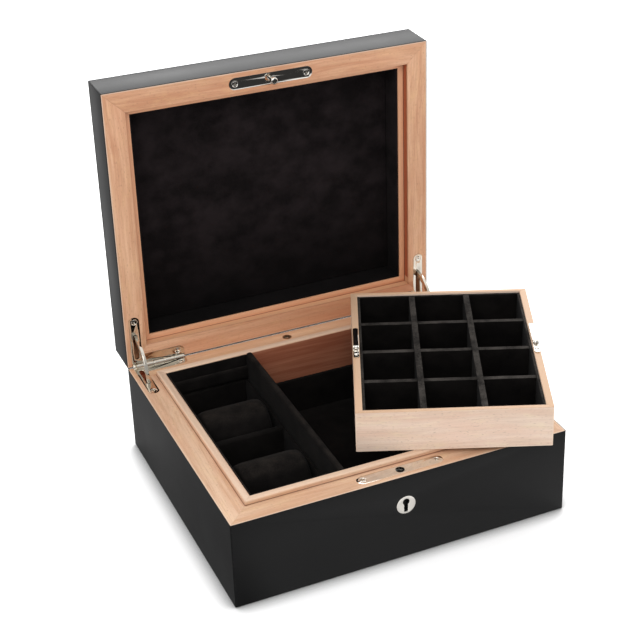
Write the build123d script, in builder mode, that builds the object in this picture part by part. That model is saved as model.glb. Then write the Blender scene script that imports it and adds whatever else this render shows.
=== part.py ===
from build123d import *
from math import asin, cos, degrees, radians, sin, tan
import os

# A lacquered watch and jewelry box with a pale wooden inside, standing open: quadrant
# hinges with curved stays, a mortised lock, two watch cushions and a lift-out tray.
# Origin: middle of the base's underside. +X right, +Y back, +Z up. Millimetres.

# Outside
width = 300.0
depth = 262.0
base_height = 80.0
lid_height = 36.5
corner_r = 1.2
edge_bevel = 0.6
lid_angle = 90.0
lid_gap = 0.3

# Boards
carcass = 20.0
liner = 7.0
lid_liner_t = 5.5
lip_rise = 4.0
lip_relief = 0.5
lip_r = 1.9
strip = 2.0
black_edge = 0.6
rabbet_depth = 8.0
lid_panel = 3.0
panel = 6.0
panel_tongue = 6.0
felt = 1.0
felt_inset = 3.0
joint_line = 0.1

# Linings
floor_pad = 3.5
floor_pad_r = 1.2
bay_lining = 1.5
bay_lining_drop = 1.0
pocket_lining = 2.5
pocket_top = 58.0
pocket_edge_r = 1.0
partition = 6.0
partition_top = 60.0
partition_y = 12.0
back_pad = 3.3
back_pad_height = 12.5
back_pad_lift = 2.5
seat_lining = 3.0
seat_top = 45.0
lid_side_lining = 1.5
lid_side_lining_drop = 1.5
lid_pad = 2.5
lid_pad_r = 1.4
divider = 6.5
divider_r = 3.1
well_width = 164.0

# Watch cushions
cushion_end_gap = 4.0
cushion_r = 24.0
cushion_crown = 71.5
cushion_tuck = 8.0
cushion_end_r = 6.0
cushion_foot_r = 7.0
rear_cushion_y = 41.0
front_cushion_y = -48.0
seat_gap = 0.3

# Quadrant hinges
leaf = 2.0
leaf_fit = 0.1
side_arm_length = 50.0
back_arm_length = 48.5
arm_width = 9.5
arm_inset = 5.0
back_arm_width = 11.5
back_arm_r = 5.0
pin_r = 1.0
pin_back = 0.1
pin_play = 0.05
knuckle_r = 2.5
knuckle_count = 5
knuckle_gap = 0.3
barrel_length = 48.0
barrel_relief = 0.3
stay_r_in = 26.5
stay_r_out = 32.0
stay_t = 2.4
stay_head = 2.6
stay_head_rise = 2.0
stay_end_r = 0.8
stop_gap = 0.3
slot_width = 4.2
slot_play = 0.5
slot_near = 7.5
mortise_width = 6.8
mortise_play = 0.8
mortise_spare = 4.0

# Countersunk screws
screw_head_r = 2.9
screw_shank_r = 1.3
screw_length = 12.0
back_screw_x = 102.5
back_screw_inset = 7.0

# Lock, strike and escutcheon
lock_length = 77.0
lock_width = 11.0
lock_inset = 10.8
lock_screw_spacing = 66.0
lock_hole_r = 3.9
case_length = 50.0
case_width = 10.0
case_height = 36.0
case_wall = 0.8
bolt_length = 34.0
bolt_t = 2.0
bolt_play = 0.05
bolt_drop = 2.5
bolt_travel = 5.0
bolt_eye_r = 3.5
bolt_throat = 4.2
tail_t = 1.6
tail_width = 5.5
tail_foot = 14.0
tail_gap = 3.0
talon_r = 3.2
post_length = 9.0
post_r = 1.8
post_head_r = 3.1
post_head = 3.4
post_tip = 0.8
post_flange = 1.5
escutcheon_r = 8.5
escutcheon_t = 1.5
escutcheon_proud = 0.3
escutcheon_drop = 27.6
key_r = 2.9
key_rise = 2.8
key_slot = 3.4
key_slot_drop = 6.9

# Cup in the back rim
cup_r = 4.3
cup_height = 6.0
cup_bore_r = 3.3
cup_bore = 2.2
cup_boss_r = 1.5
cup_boss = 1.0
cup_inset = 9.5

# Tray
tray_width = 162.0
tray_length = 205.0
tray_height = 37.5
tray_wall = 6.0
tray_end_wall = 4.0
tray_panel = 3.0
tray_panel_lift = 1.5
tray_tongue = 2.5
tray_side_lining = 2.5
tray_floor_lining = 1.5
tray_lining_drop = 1.5
long_divider_t = 5.2
long_divider_drop = 1.2
cross_divider_t = 4.6
cross_divider_drop = 3.0
tray_columns = 3
tray_rows = 4
tray_x = -23.9
tray_y = -87.1
tray_turn = -23.1
tray_gap = 0.3

# Tray handles
plate_t = 1.2
plate_width = 5.0
plate_front = 13.0
handle_length = 34.0
handle_width = 4.6
handle_t = 1.7
handle_eye_r = 2.0
handle_eye_width = 2.4
handle_pin_r = 0.8
handle_ear_r = 2.2
handle_play = 0.2
handle_end_r = 2.0
handle_screw_y = 9.5
handle_screw_r = 2.3
handle_screw_top_r = 1.5
handle_screw_rise = 1.2

# Places worked out from the sizes above
hw = width / 2
hd = depth / 2
rim_z = base_height
lip_z = rim_z + lip_rise
in_x = hw - carcass - liner
in_y = hd - carcass - liner
floor_z = felt + panel
pad_z = floor_z + floor_pad
pin_y = hd + pin_back
pin_z = rim_z + lid_gap / 2
lid_carcass = carcass - lip_relief
lid_in = lid_carcass + lid_liner_t
lid_panel_z = lid_height - lid_panel
well_left = in_x - well_width
bay_right = well_left - divider
pocket_left = bay_lining - in_x
pocket_y = in_y - bay_lining
lock_y = lock_inset - hd
arm_x = hw - arm_inset - arm_width / 2
arm_end = pin_y - side_arm_length
back_arm_end = hw - arm_inset - back_arm_length
back_arm_y = hd - back_arm_width
side_screw_y = arm_end + arm_width / 2
back_screw_y = hd - back_screw_inset
key_z = rim_z - escutcheon_drop
barrel_start = hw - arm_inset - barrel_length
knuckle_pitch = barrel_length / knuckle_count
knuckle_web = knuckle_r + 2 * barrel_relief
stay_seat = degrees(asin((leaf + lid_gap / 2 + stop_gap) / stay_r_out))
stay_hold = stay_seat + degrees(stay_head / stay_r_out)
mortise_angle = lid_angle / 2 + stay_hold + mortise_spare
mortise_r = stay_r_out + stay_head_rise + mortise_play
bottom = (Align.CENTER, Align.CENTER, Align.MIN)
top = (Align.CENTER, Align.CENTER, Align.MAX)
corner = (Align.MIN, Align.MIN)

# The sides of a frame: name, its turn about Z, half its length, how far out it stands
sides = (
    ("front", 0, hw, hd),
    ("right", 90, hd, hw),
    ("back", 180, hw, hd),
    ("left", 270, hd, hw),
)

# The lid's own frame has its rim at z = 0 and the base's X and Y while closed,
# and is carried round the hinge pins to the open angle
opened = radians(lid_angle)
lid_frame = Plane(
    origin=(
        0,
        pin_y - pin_y * cos(opened) + lid_gap / 2 * sin(opened),
        pin_z + pin_y * sin(opened) + lid_gap / 2 * cos(opened),
    ),
    x_dir=(1, 0, 0),
    z_dir=(0, sin(opened), cos(opened)),
)

lid_up = Axis(lid_frame.origin, lid_frame.z_dir)

# The tray's frame has its front left bottom corner at the origin; it lies across the lips
tray_frame = Plane(
    origin=(tray_x, tray_y, lip_z + tray_gap),
    x_dir=(cos(radians(tray_turn)), sin(radians(tray_turn)), 0),
    z_dir=(0, 0, 1),
)

os.makedirs("parts", exist_ok=True)


def in_lid(plane):
    """A plane given in the lid's frame, where it stands on the open box."""
    return Plane(lid_frame.location * plane.location)


def in_tray(plane):
    """A plane given in the tray's frame, where it stands on the open box."""
    return Plane(tray_frame.location * plane.location)


def about_pin(x):
    """A plane across the hinge pins: local X to the front, local Y up, origin on the axis."""
    return Plane(origin=(x, pin_y, pin_z), x_dir=(0, -1, 0), z_dir=(-1, 0, 0))


def about_lid_pin(x):
    """The same plane in the lid's frame, with local Y up into the lid's wood."""
    return in_lid(Plane(origin=(x, pin_y, -lid_gap / 2), x_dir=(0, -1, 0), z_dir=(-1, 0, 0)))


def mitred(length, reach, outer, inner, line=0.0):
    """Plan of one mitred side, its faces at these insets from the outside of the frame."""
    with BuildSketch() as plan:
        with BuildLine():
            Polyline(
                (outer - length + line, outer - reach),
                (length - outer - line, outer - reach),
                (length - inner - line, inner - reach),
                (inner - length + line, inner - reach),
                close=True,
            )
        make_face()
    return plan.sketch


def keyhole():
    """Round key opening with its slot below, about the escutcheon's centre."""
    with BuildSketch() as opening:
        with Locations((0, key_rise)):
            Circle(key_r)
        with Locations((0, (key_rise - key_slot_drop) / 2)):
            Rectangle(key_slot, key_rise + key_slot_drop)
    return opening.sketch


def sector(r_in, r_out, start, span):
    """Part of a ring about the hinge pin."""
    with BuildSketch() as ring:
        with BuildLine():
            far = CenterArc((0, 0), r_out, start, span)
            near = CenterArc((0, 0), r_in, start, span)
            Line(far @ 0, near @ 0)
            Line(far @ 1, near @ 1)
        make_face()
    return ring.sketch


# Plan of the two hinge leaves: an arm along the side, an arm along the back
with BuildSketch() as leaves_plan:
    with BuildLine():
        Polyline(
            (hw - arm_inset, hd),
            (hw - arm_inset, arm_end),
            (hw - arm_inset - arm_width, arm_end),
            (hw - arm_inset - arm_width, back_arm_y),
            (back_arm_end, back_arm_y),
            (back_arm_end, hd),
            close=True,
        )
    make_face()
    arm_ends = leaves_plan.vertices().group_by(Axis.Y)[0]
    fillet(arm_ends, arm_width / 2 - 0.01)
    back_end = leaves_plan.vertices().group_by(Axis.X)[0].sort_by(Axis.Y)[0]
    fillet(back_end, back_arm_r)
    mirror(about=Plane.YZ)

# Plan of their pockets in the wood
with BuildSketch() as leaf_pockets_plan:
    add(leaves_plan.sketch)
    offset(amount=leaf_fit, kind=Kind.INTERSECTION)

# Plan of the slots that the stays slide through
with BuildSketch() as stay_slots_plan:
    with Locations(
        (arm_x, pin_y - (slot_near + stay_r_out + slot_play) / 2),
        (-arm_x, pin_y - (slot_near + stay_r_out + slot_play) / 2),
    ):
        SlotOverall(stay_r_out + slot_play - slot_near, slot_width, rotation=90)

# Plan of the lock's face plate, the same as the strike plate's
with BuildSketch() as lock_plan:
    with Locations((0, lock_y)):
        SlotOverall(lock_length, lock_width)

hinge_screw_places = [
    (arm_x, side_screw_y),
    (-arm_x, side_screw_y),
    (back_screw_x, back_screw_y),
    (-back_screw_x, back_screw_y),
]
lock_screw_places = [(lock_screw_spacing / 2, lock_y), (-lock_screw_spacing / 2, lock_y)]
screw_places = hinge_screw_places + lock_screw_places
sink = screw_head_r - screw_shank_r

# Everything that the fittings take out of the base's wood
with BuildPart() as base_cuts:
    with BuildSketch(Plane.XY.offset(rim_z - leaf)):
        add(leaf_pockets_plan.sketch)
        add(lock_plan.sketch)
    extrude(amount=leaf + lip_rise)
    for x in (arm_x, -arm_x):
        with BuildSketch(about_pin(x)):
            add(sector(slot_near, mortise_r, -mortise_angle, mortise_angle))
        extrude(amount=mortise_width / 2, both=True)
    for x in (barrel_start + barrel_length / 2, -barrel_start - barrel_length / 2):
        with BuildSketch(about_pin(x)):
            Circle(knuckle_r + barrel_relief)
        extrude(amount=barrel_length / 2 + barrel_relief, both=True)
    with Locations((0, lock_y, rim_z - leaf)):
        Box(case_length, case_width, case_height, align=top)
    with BuildSketch(Plane.XZ.offset(-lock_y)):
        with Locations((0, key_z)):
            add(keyhole())
    extrude(amount=hd + lock_y)
    with BuildSketch(Plane.XZ.offset(hd)):
        with Locations((0, key_z)):
            Circle(escutcheon_r)
    extrude(amount=-(escutcheon_t - escutcheon_proud))
    with Locations((0, hd - cup_inset, rim_z)):
        Cylinder(cup_r, cup_height, align=top)
    with Locations(*[(x, y, rim_z) for x, y in screw_places]):
        Cylinder(screw_shank_r, screw_length, align=top)
    with Locations((0, 0, felt)):
        Box(
            width - 2 * (carcass - panel_tongue),
            depth - 2 * (carcass - panel_tongue),
            panel,
            align=bottom,
        )

# Everything that the fittings take out of the lid's wood, in the lid's own frame
with BuildPart() as lid_cuts:
    with BuildSketch(in_lid(Plane.XY.offset(leaf))):
        add(leaf_pockets_plan.sketch)
        add(lock_plan.sketch)
    extrude(amount=-leaf - lip_rise)
    for x in (arm_x, -arm_x):
        with BuildSketch(about_lid_pin(x)):
            add(sector(slot_near, mortise_r, 0, mortise_angle))
        extrude(amount=mortise_width / 2, both=True)
    for x in (barrel_start + barrel_length / 2, -barrel_start - barrel_length / 2):
        with BuildSketch(about_lid_pin(x)):
            Circle(knuckle_r + barrel_relief)
        extrude(amount=barrel_length / 2 + barrel_relief, both=True)
    with Locations(in_lid(Plane((0, lock_y, 0)))):
        Cylinder(post_head_r, leaf + post_flange, align=bottom)
    with Locations(*[in_lid(Plane((x, y, 0))) for x, y in screw_places]):
        Cylinder(screw_shank_r, screw_length, align=bottom)

# Carcass boards of the base, mitred, rabbeted for the rim and the bottom panel
for side, angle, length, reach in sides:
    plan = Plane.XY.rotated((0, 0, angle))
    with BuildPart() as base_wall:
        with BuildSketch(plan.offset(felt)):
            RectangleRounded(2 * length, 2 * reach, corner_r)
            add(mitred(length, reach, 0, carcass), mode=Mode.INTERSECT)
        extrude(amount=rim_z - felt)
        with BuildSketch(plan.offset(rim_z)):
            add(mitred(length, reach, black_edge, carcass))
        extrude(amount=-strip, mode=Mode.SUBTRACT)
        add(base_cuts.part, mode=Mode.SUBTRACT)
    base_wall.part.label = f"base_{side}_wall"
    export_step(base_wall.part, f"parts/base_{side}_wall.step")

# Wooden facings of the base's rim
with BuildPart() as base_rim_strips:
    for side, angle, length, reach in sides:
        with BuildSketch(Plane.XY.rotated((0, 0, angle)).offset(rim_z - strip)):
            add(mitred(length, reach, black_edge, carcass, joint_line / 2))
        extrude(amount=strip)
    add(base_cuts.part, mode=Mode.SUBTRACT)
base_rim_strips.part.label = "base_rim_strips"
export_step(base_rim_strips.part, "parts/base_rim_strips.step")

# Liner boards of the base, whose rounded tops stand proud as a lip
for side, angle, length, reach in sides:
    with BuildPart() as base_liner:
        with BuildSketch(Plane.XY.rotated((0, 0, angle)).offset(floor_z)):
            add(mitred(length, reach, carcass, carcass + liner))
        extrude(amount=lip_z - floor_z)
        lip_top = base_liner.faces().sort_by(Axis.Z)[-1]
        fillet(lip_top.edges().sort_by(SortBy.LENGTH)[-2:], lip_r)
    base_liner.part.label = f"base_{side}_liner"
    export_step(base_liner.part, f"parts/base_{side}_liner.step")

# Bottom panel, let into the boards
with BuildPart() as base_bottom_panel:
    with Locations((0, 0, felt)):
        Box(
            width - 2 * (carcass - panel_tongue),
            depth - 2 * (carcass - panel_tongue),
            panel,
            align=bottom,
        )
base_bottom_panel.part.label = "base_bottom_panel"
export_step(base_bottom_panel.part, "parts/base_bottom_panel.step")

# Felt sheet that the box stands on
with BuildPart() as base_felt:
    with BuildSketch():
        RectangleRounded(width - 2 * felt_inset, depth - 2 * felt_inset, felt_inset)
    extrude(amount=felt)
base_felt.part.label = "base_felt"
export_step(base_felt.part, "parts/base_felt.step")

# Divider between the watch bay and the well, with a fully rounded top
with BuildPart() as long_divider:
    with BuildSketch(Plane.XY.offset(floor_z)):
        with Locations((bay_right, -in_y)):
            Rectangle(divider, 2 * in_y, align=corner)
    extrude(amount=lip_z - floor_z)
    divider_top = long_divider.faces().sort_by(Axis.Z)[-1]
    fillet(divider_top.edges().filter_by(Axis.Y), divider_r)
long_divider.part.label = "long_divider"
export_step(long_divider.part, "parts/long_divider.step")

# Suede panels on the bay's left, back and front walls
with BuildPart() as watch_bay_lining:
    with BuildSketch(Plane.XY.offset(floor_z)):
        with Locations((-in_x, -in_y)):
            Rectangle(bay_lining, 2 * in_y, align=corner)
        with Locations((pocket_left + joint_line, pocket_y), (pocket_left + joint_line, -in_y)):
            Rectangle(bay_right - pocket_left - joint_line, bay_lining, align=corner)
    extrude(amount=lip_z - bay_lining_drop - floor_z)
watch_bay_lining.part.label = "watch_bay_lining"
export_step(watch_bay_lining.part, "parts/watch_bay_lining.step")

# Thicker suede panels that line the pockets below them
with BuildPart() as watch_pocket_lining:
    with BuildSketch(Plane.XY.offset(floor_z)):
        with Locations((pocket_left, -pocket_y), (bay_right - pocket_lining, -pocket_y)):
            Rectangle(pocket_lining, 2 * pocket_y, align=corner)
        with Locations(
            (pocket_left + pocket_lining + joint_line, pocket_y - pocket_lining),
            (pocket_left + pocket_lining + joint_line, -pocket_y),
        ):
            Rectangle(
                bay_right - pocket_left - 2 * (pocket_lining + joint_line),
                pocket_lining,
                align=corner,
            )
    extrude(amount=pocket_top - floor_z)
    pocket_tops = watch_pocket_lining.faces().group_by(Axis.Z)[-1]
    fillet([e for f in pocket_tops for e in f.edges().sort_by(SortBy.LENGTH)[-2:]], pocket_edge_r)
watch_pocket_lining.part.label = "watch_pocket_lining"
export_step(watch_pocket_lining.part, "parts/watch_pocket_lining.step")

# Low partition between the two pockets
with BuildPart() as watch_bay_partition:
    with BuildSketch(Plane.XY.offset(floor_z)):
        with Locations((pocket_left + pocket_lining, partition_y - partition / 2)):
            Rectangle(
                bay_right - pocket_left - 2 * pocket_lining,
                partition,
                align=corner,
            )
    extrude(amount=partition_top - floor_z)
    partition_edge = watch_bay_partition.faces().sort_by(Axis.Z)[-1]
    fillet(partition_edge.edges().filter_by(Axis.X), partition / 2 - 0.1)
watch_bay_partition.part.label = "watch_bay_partition"
export_step(watch_bay_partition.part, "parts/watch_bay_partition.step")

# Padded strip across the bay's back wall, above the pocket
with BuildPart() as watch_bay_back_pad:
    with BuildSketch(Plane.YZ.offset(pocket_left + joint_line)):
        with BuildLine():
            pad_low = pocket_top + back_pad_lift
            ThreePointArc(
                (pocket_y, pad_low),
                (pocket_y - back_pad, pad_low + back_pad_height / 2),
                (pocket_y, pad_low + back_pad_height),
            )
            Line((pocket_y, pad_low + back_pad_height), (pocket_y, pad_low))
        make_face()
    extrude(amount=bay_right - pocket_left - 2 * joint_line)
watch_bay_back_pad.part.label = "watch_bay_back_pad"
export_step(watch_bay_back_pad.part, "parts/watch_bay_back_pad.step")

# Padded floors of the two pockets and the well
pocket_in_left = pocket_left + pocket_lining + joint_line
pocket_in_width = bay_right - pocket_left - 2 * (pocket_lining + joint_line)
rear_pocket = pocket_y - pocket_lining - partition_y - partition / 2 - 2 * joint_line
front_pocket = pocket_y - pocket_lining + partition_y - partition / 2 - 2 * joint_line
with BuildPart() as floor_linings:
    with BuildSketch(Plane.XY.offset(floor_z)):
        with Locations((pocket_in_left, partition_y + partition / 2 + joint_line)):
            Rectangle(pocket_in_width, rear_pocket, align=corner)
        with Locations((pocket_in_left, pocket_lining + joint_line - pocket_y)):
            Rectangle(pocket_in_width, front_pocket, align=corner)
        with Locations(
            (well_left + seat_lining + joint_line, seat_lining + joint_line - in_y)
        ):
            Rectangle(
                well_width - 2 * (seat_lining + joint_line),
                2 * (in_y - seat_lining - joint_line),
                align=corner,
            )
    extrude(amount=floor_pad)
    fillet(floor_linings.faces().group_by(Axis.Z)[-1].edges(), floor_pad_r)
floor_linings.part.label = "floor_linings"
export_step(floor_linings.part, "parts/floor_linings.step")

# Lining of the well, whose top edge is the ledge that the tray sits on
with BuildPart() as tray_seat_lining:
    with BuildSketch(Plane.XY.offset(floor_z)):
        with Locations((well_left, -in_y), (in_x - seat_lining, -in_y)):
            Rectangle(seat_lining, 2 * in_y, align=corner)
        with Locations(
            (well_left + seat_lining + joint_line, in_y - seat_lining),
            (well_left + seat_lining + joint_line, -in_y),
        ):
            Rectangle(
                well_width - 2 * (seat_lining + joint_line), seat_lining, align=corner
            )
    extrude(amount=seat_top - floor_z)
tray_seat_lining.part.label = "tray_seat_lining"
export_step(tray_seat_lining.part, "parts/tray_seat_lining.step")

# Watch cushions: half-round top, drawn-in sides, rounded cheeks
cushion_low = pad_z + seat_gap
cushion_mid = cushion_crown - cushion_r
cushion_x = (pocket_left + bay_right) / 2
cushion_length = bay_right - pocket_left - 2 * (pocket_lining + cushion_end_gap)
for place, cushion_y in (("rear", rear_cushion_y), ("front", front_cushion_y)):
    with BuildPart() as watch_cushion:
        with BuildSketch(
            Plane(origin=(cushion_x, cushion_y, 0), x_dir=(0, 1, 0), z_dir=(1, 0, 0))
        ):
            with BuildLine():
                tuck = radians(cushion_tuck)
                foot_x = (cushion_r - cushion_foot_r) * cos(tuck)
                foot_z = cushion_low + cushion_foot_r
                side_x = cushion_r * cos(tuck)
                side_high = cushion_mid - cushion_r * sin(tuck)
                side_low = foot_z + cushion_foot_r * sin(tuck)
                waist = (side_high - side_low) / 2 * tan(tuck / 2)
                CenterArc((0, cushion_mid), cushion_r, -cushion_tuck, 180 + 2 * cushion_tuck)
                SagittaArc((side_x, side_high), (side_x, side_low), -waist)
                SagittaArc((-side_x, side_low), (-side_x, side_high), -waist)
                CenterArc((foot_x, foot_z), cushion_foot_r, 270, 90 + cushion_tuck)
                CenterArc((-foot_x, foot_z), cushion_foot_r, 180 - cushion_tuck, 90 + cushion_tuck)
                Line((-foot_x, cushion_low), (foot_x, cushion_low))
            make_face()
        extrude(amount=cushion_length / 2, both=True)
        cheeks = watch_cushion.faces().sort_by(Axis.X)
        fillet(cheeks[0].edges() + cheeks[-1].edges(), cushion_end_r)
    watch_cushion.part.label = f"watch_cushion_{place}"
    export_step(watch_cushion.part, f"parts/watch_cushion_{place}.step")

# Hinge leaves of the base, let in flush, each with three of the five knuckles
with BuildPart() as base_leaves:
    with BuildSketch(Plane.XY.offset(rim_z - leaf)):
        add(leaves_plan.sketch)
    extrude(amount=leaf)
    for x in (barrel_start, -barrel_start - barrel_length):
        with BuildSketch(about_pin(x + barrel_length / 2)):
            Circle(knuckle_r + barrel_relief)
        extrude(amount=barrel_length / 2 + barrel_relief, both=True, mode=Mode.SUBTRACT)
        for k in range(0, knuckle_count, 2):
            start = x + k * knuckle_pitch + knuckle_gap / 2
            with BuildSketch(Plane.YZ.offset(start)):
                with Locations((pin_y, pin_z)):
                    Circle(knuckle_r)
                with Locations((pin_y - knuckle_web, rim_z - leaf)):
                    Rectangle(knuckle_web, leaf, align=corner)
            extrude(amount=knuckle_pitch - knuckle_gap)
        with BuildSketch(about_pin(x + barrel_length / 2)):
            Circle(pin_r)
        extrude(amount=barrel_length / 2, both=True, mode=Mode.SUBTRACT)
    with BuildSketch(Plane.XY.offset(rim_z)):
        add(stay_slots_plan.sketch)
    extrude(amount=-leaf, mode=Mode.SUBTRACT)
    with Locations(*[(x, y, rim_z) for x, y in hinge_screw_places]):
        CounterSinkHole(screw_shank_r, screw_head_r, depth=leaf)
for side, place in (("left", 0), ("right", -1)):
    base_leaf = base_leaves.solids().sort_by(Axis.X)[place]
    base_leaf.label = f"base_{side}_hinge_leaf"
    export_step(base_leaf, f"parts/base_{side}_hinge_leaf.step")

# Hinge leaves of the lid, with the other two knuckles
with BuildPart() as lid_leaves:
    with BuildSketch(in_lid(Plane.XY)):
        add(leaves_plan.sketch)
    extrude(amount=leaf)
    for x in (barrel_start, -barrel_start - barrel_length):
        with BuildSketch(about_lid_pin(x + barrel_length / 2)):
            Circle(knuckle_r + barrel_relief)
        extrude(amount=barrel_length / 2 + barrel_relief, both=True, mode=Mode.SUBTRACT)
        for k in range(1, knuckle_count, 2):
            start = x + k * knuckle_pitch + knuckle_gap / 2
            with BuildSketch(in_lid(Plane.YZ.offset(start))):
                with Locations((pin_y, -lid_gap / 2)):
                    Circle(knuckle_r)
                with Locations((pin_y - knuckle_web, 0)):
                    Rectangle(knuckle_web, leaf, align=corner)
            extrude(amount=knuckle_pitch - knuckle_gap)
        with BuildSketch(about_lid_pin(x + barrel_length / 2)):
            Circle(pin_r + pin_play)
        extrude(amount=barrel_length / 2, both=True, mode=Mode.SUBTRACT)
    with BuildSketch(in_lid(Plane.XY)):
        add(stay_slots_plan.sketch)
    extrude(amount=leaf, mode=Mode.SUBTRACT)
    with Locations(*[in_lid(Plane((x, y, 0), z_dir=(0, 0, -1))) for x, y in hinge_screw_places]):
        CounterSinkHole(screw_shank_r, screw_head_r, depth=leaf)
for side, place in (("left", 0), ("right", -1)):
    lid_leaf = lid_leaves.solids().sort_by(Axis.X)[place]
    lid_leaf.label = f"lid_{side}_hinge_leaf"
    export_step(lid_leaf, f"parts/lid_{side}_hinge_leaf.step")

# Hinge pins, held by the base's knuckles
with BuildPart() as hinge_pins:
    for x in (barrel_start + barrel_length / 2, -barrel_start - barrel_length / 2):
        with BuildSketch(about_pin(x)):
            Circle(pin_r)
        extrude(amount=barrel_length / 2 - knuckle_gap / 2, both=True)
hinge_pins.part.label = "hinge_pins"
export_step(hinge_pins.part, "parts/hinge_pins.step")

# Curved stays: concentric with the pins, they slide through both leaves' slots into the
# mortises, and a head on each end catches under its leaf to stop the lid upright
for side, x in (("left", -arm_x), ("right", arm_x)):
    with BuildPart() as stay:
        with BuildSketch(about_pin(x)) as stay_plan:
            add(sector(stay_r_in, stay_r_out, -stay_hold, lid_angle + 2 * stay_hold))
            head = stay_hold - stay_seat
            add(sector(stay_r_in, stay_r_out + stay_head_rise, -stay_hold, head))
            add(sector(stay_r_in, stay_r_out + stay_head_rise, lid_angle + stay_seat, head))
            fillet(stay_plan.vertices(), stay_end_r)
        extrude(amount=stay_t / 2, both=True)
    stay.part.label = f"stay_{side}"
    export_step(stay.part, f"parts/stay_{side}.step")

# Lid: carcass boards, mitred and rabbeted like the base's
for side, angle, length, reach in sides:
    plan = Plane.XY.rotated((0, 0, angle))
    with BuildPart() as lid_wall:
        with BuildSketch(in_lid(plan)):
            RectangleRounded(2 * length, 2 * reach, corner_r)
            add(mitred(length, reach, 0, lid_carcass), mode=Mode.INTERSECT)
        extrude(amount=lid_panel_z)
        with BuildSketch(in_lid(plan)):
            add(mitred(length, reach, black_edge, lid_carcass))
        extrude(amount=strip, mode=Mode.SUBTRACT)
        add(lid_cuts.part, mode=Mode.SUBTRACT)
    lid_wall.part.label = f"lid_{side}_wall"
    export_step(lid_wall.part, f"parts/lid_{side}_wall.step")

# Top panel of the lid, over the boards, its outer edge eased
with BuildPart() as lid_top_panel:
    with BuildSketch(in_lid(Plane.XY.offset(lid_panel_z))):
        RectangleRounded(width, depth, corner_r)
    extrude(amount=lid_panel)
    chamfer(lid_top_panel.faces().sort_by(lid_up)[-1].edges(), edge_bevel)
lid_top_panel.part.label = "lid_top_panel"
export_step(lid_top_panel.part, "parts/lid_top_panel.step")

# Wooden facings of the lid's rim
with BuildPart() as lid_rim_strips:
    for side, angle, length, reach in sides:
        with BuildSketch(in_lid(Plane.XY.rotated((0, 0, angle)))):
            add(mitred(length, reach, black_edge, lid_carcass, joint_line / 2))
        extrude(amount=strip)
    add(lid_cuts.part, mode=Mode.SUBTRACT)
lid_rim_strips.part.label = "lid_rim_strips"
export_step(lid_rim_strips.part, "parts/lid_rim_strips.step")

# Liner boards of the lid, set back so that the base's lip enters the lid
for side, angle, length, reach in sides:
    with BuildPart() as lid_liner:
        with BuildSketch(in_lid(Plane.XY.rotated((0, 0, angle)).offset(rabbet_depth))):
            add(mitred(length, reach, lid_carcass, lid_in))
        extrude(amount=lid_panel_z - rabbet_depth)
    lid_liner.part.label = f"lid_{side}_liner"
    export_step(lid_liner.part, f"parts/lid_{side}_liner.step")

# Suede strips on the inside of the lid's liner boards
with BuildPart() as lid_side_linings:
    for side, angle, length, reach in sides:
        low = rabbet_depth + lid_side_lining_drop
        with BuildSketch(in_lid(Plane.XY.rotated((0, 0, angle)).offset(low))):
            add(mitred(length, reach, lid_in, lid_in + lid_side_lining, joint_line / 2))
        extrude(amount=lid_panel_z - low)
lid_side_linings.part.label = "lid_side_linings"
export_step(lid_side_linings.part, "parts/lid_side_linings.step")

# Padded suede panel in the lid
with BuildPart() as lid_lining_panel:
    inset = lid_in + lid_side_lining + joint_line
    with BuildSketch(in_lid(Plane.XY.offset(lid_panel_z))):
        Rectangle(width - 2 * inset, depth - 2 * inset)
    extrude(amount=-lid_pad)
    fillet(lid_lining_panel.faces().sort_by(lid_up)[0].edges(), lid_pad_r)
lid_lining_panel.part.label = "lid_lining_panel"
export_step(lid_lining_panel.part, "parts/lid_lining_panel.step")

# Lock face plate, let into the front rim, with the hole for the post
with BuildPart() as lock_face_plate:
    with BuildSketch(Plane.XY.offset(rim_z - leaf)):
        add(lock_plan.sketch)
        with Locations((0, lock_y)):
            Circle(lock_hole_r, mode=Mode.SUBTRACT)
    extrude(amount=leaf)
    with Locations(*[(x, y, rim_z) for x, y in lock_screw_places]):
        CounterSinkHole(screw_shank_r, screw_head_r, depth=leaf)
lock_face_plate.part.label = "lock_face_plate"
export_step(lock_face_plate.part, "parts/lock_face_plate.step")

# Lock case: a folded steel box under the face plate, open to the post and the key
with BuildPart() as lock_case:
    with Locations((0, lock_y, rim_z - leaf)):
        Box(case_length, case_width, case_height, align=top)
        Box(
            case_length - 2 * case_wall,
            case_width - 2 * case_wall,
            case_height - case_wall,
            align=top,
            mode=Mode.SUBTRACT,
        )
    with BuildSketch(Plane.XZ.offset(-lock_y)):
        with Locations((0, key_z)):
            add(keyhole())
    extrude(amount=case_width, mode=Mode.SUBTRACT)
lock_case.part.label = "lock_case"
export_step(lock_case.part, "parts/lock_case.step")

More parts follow.
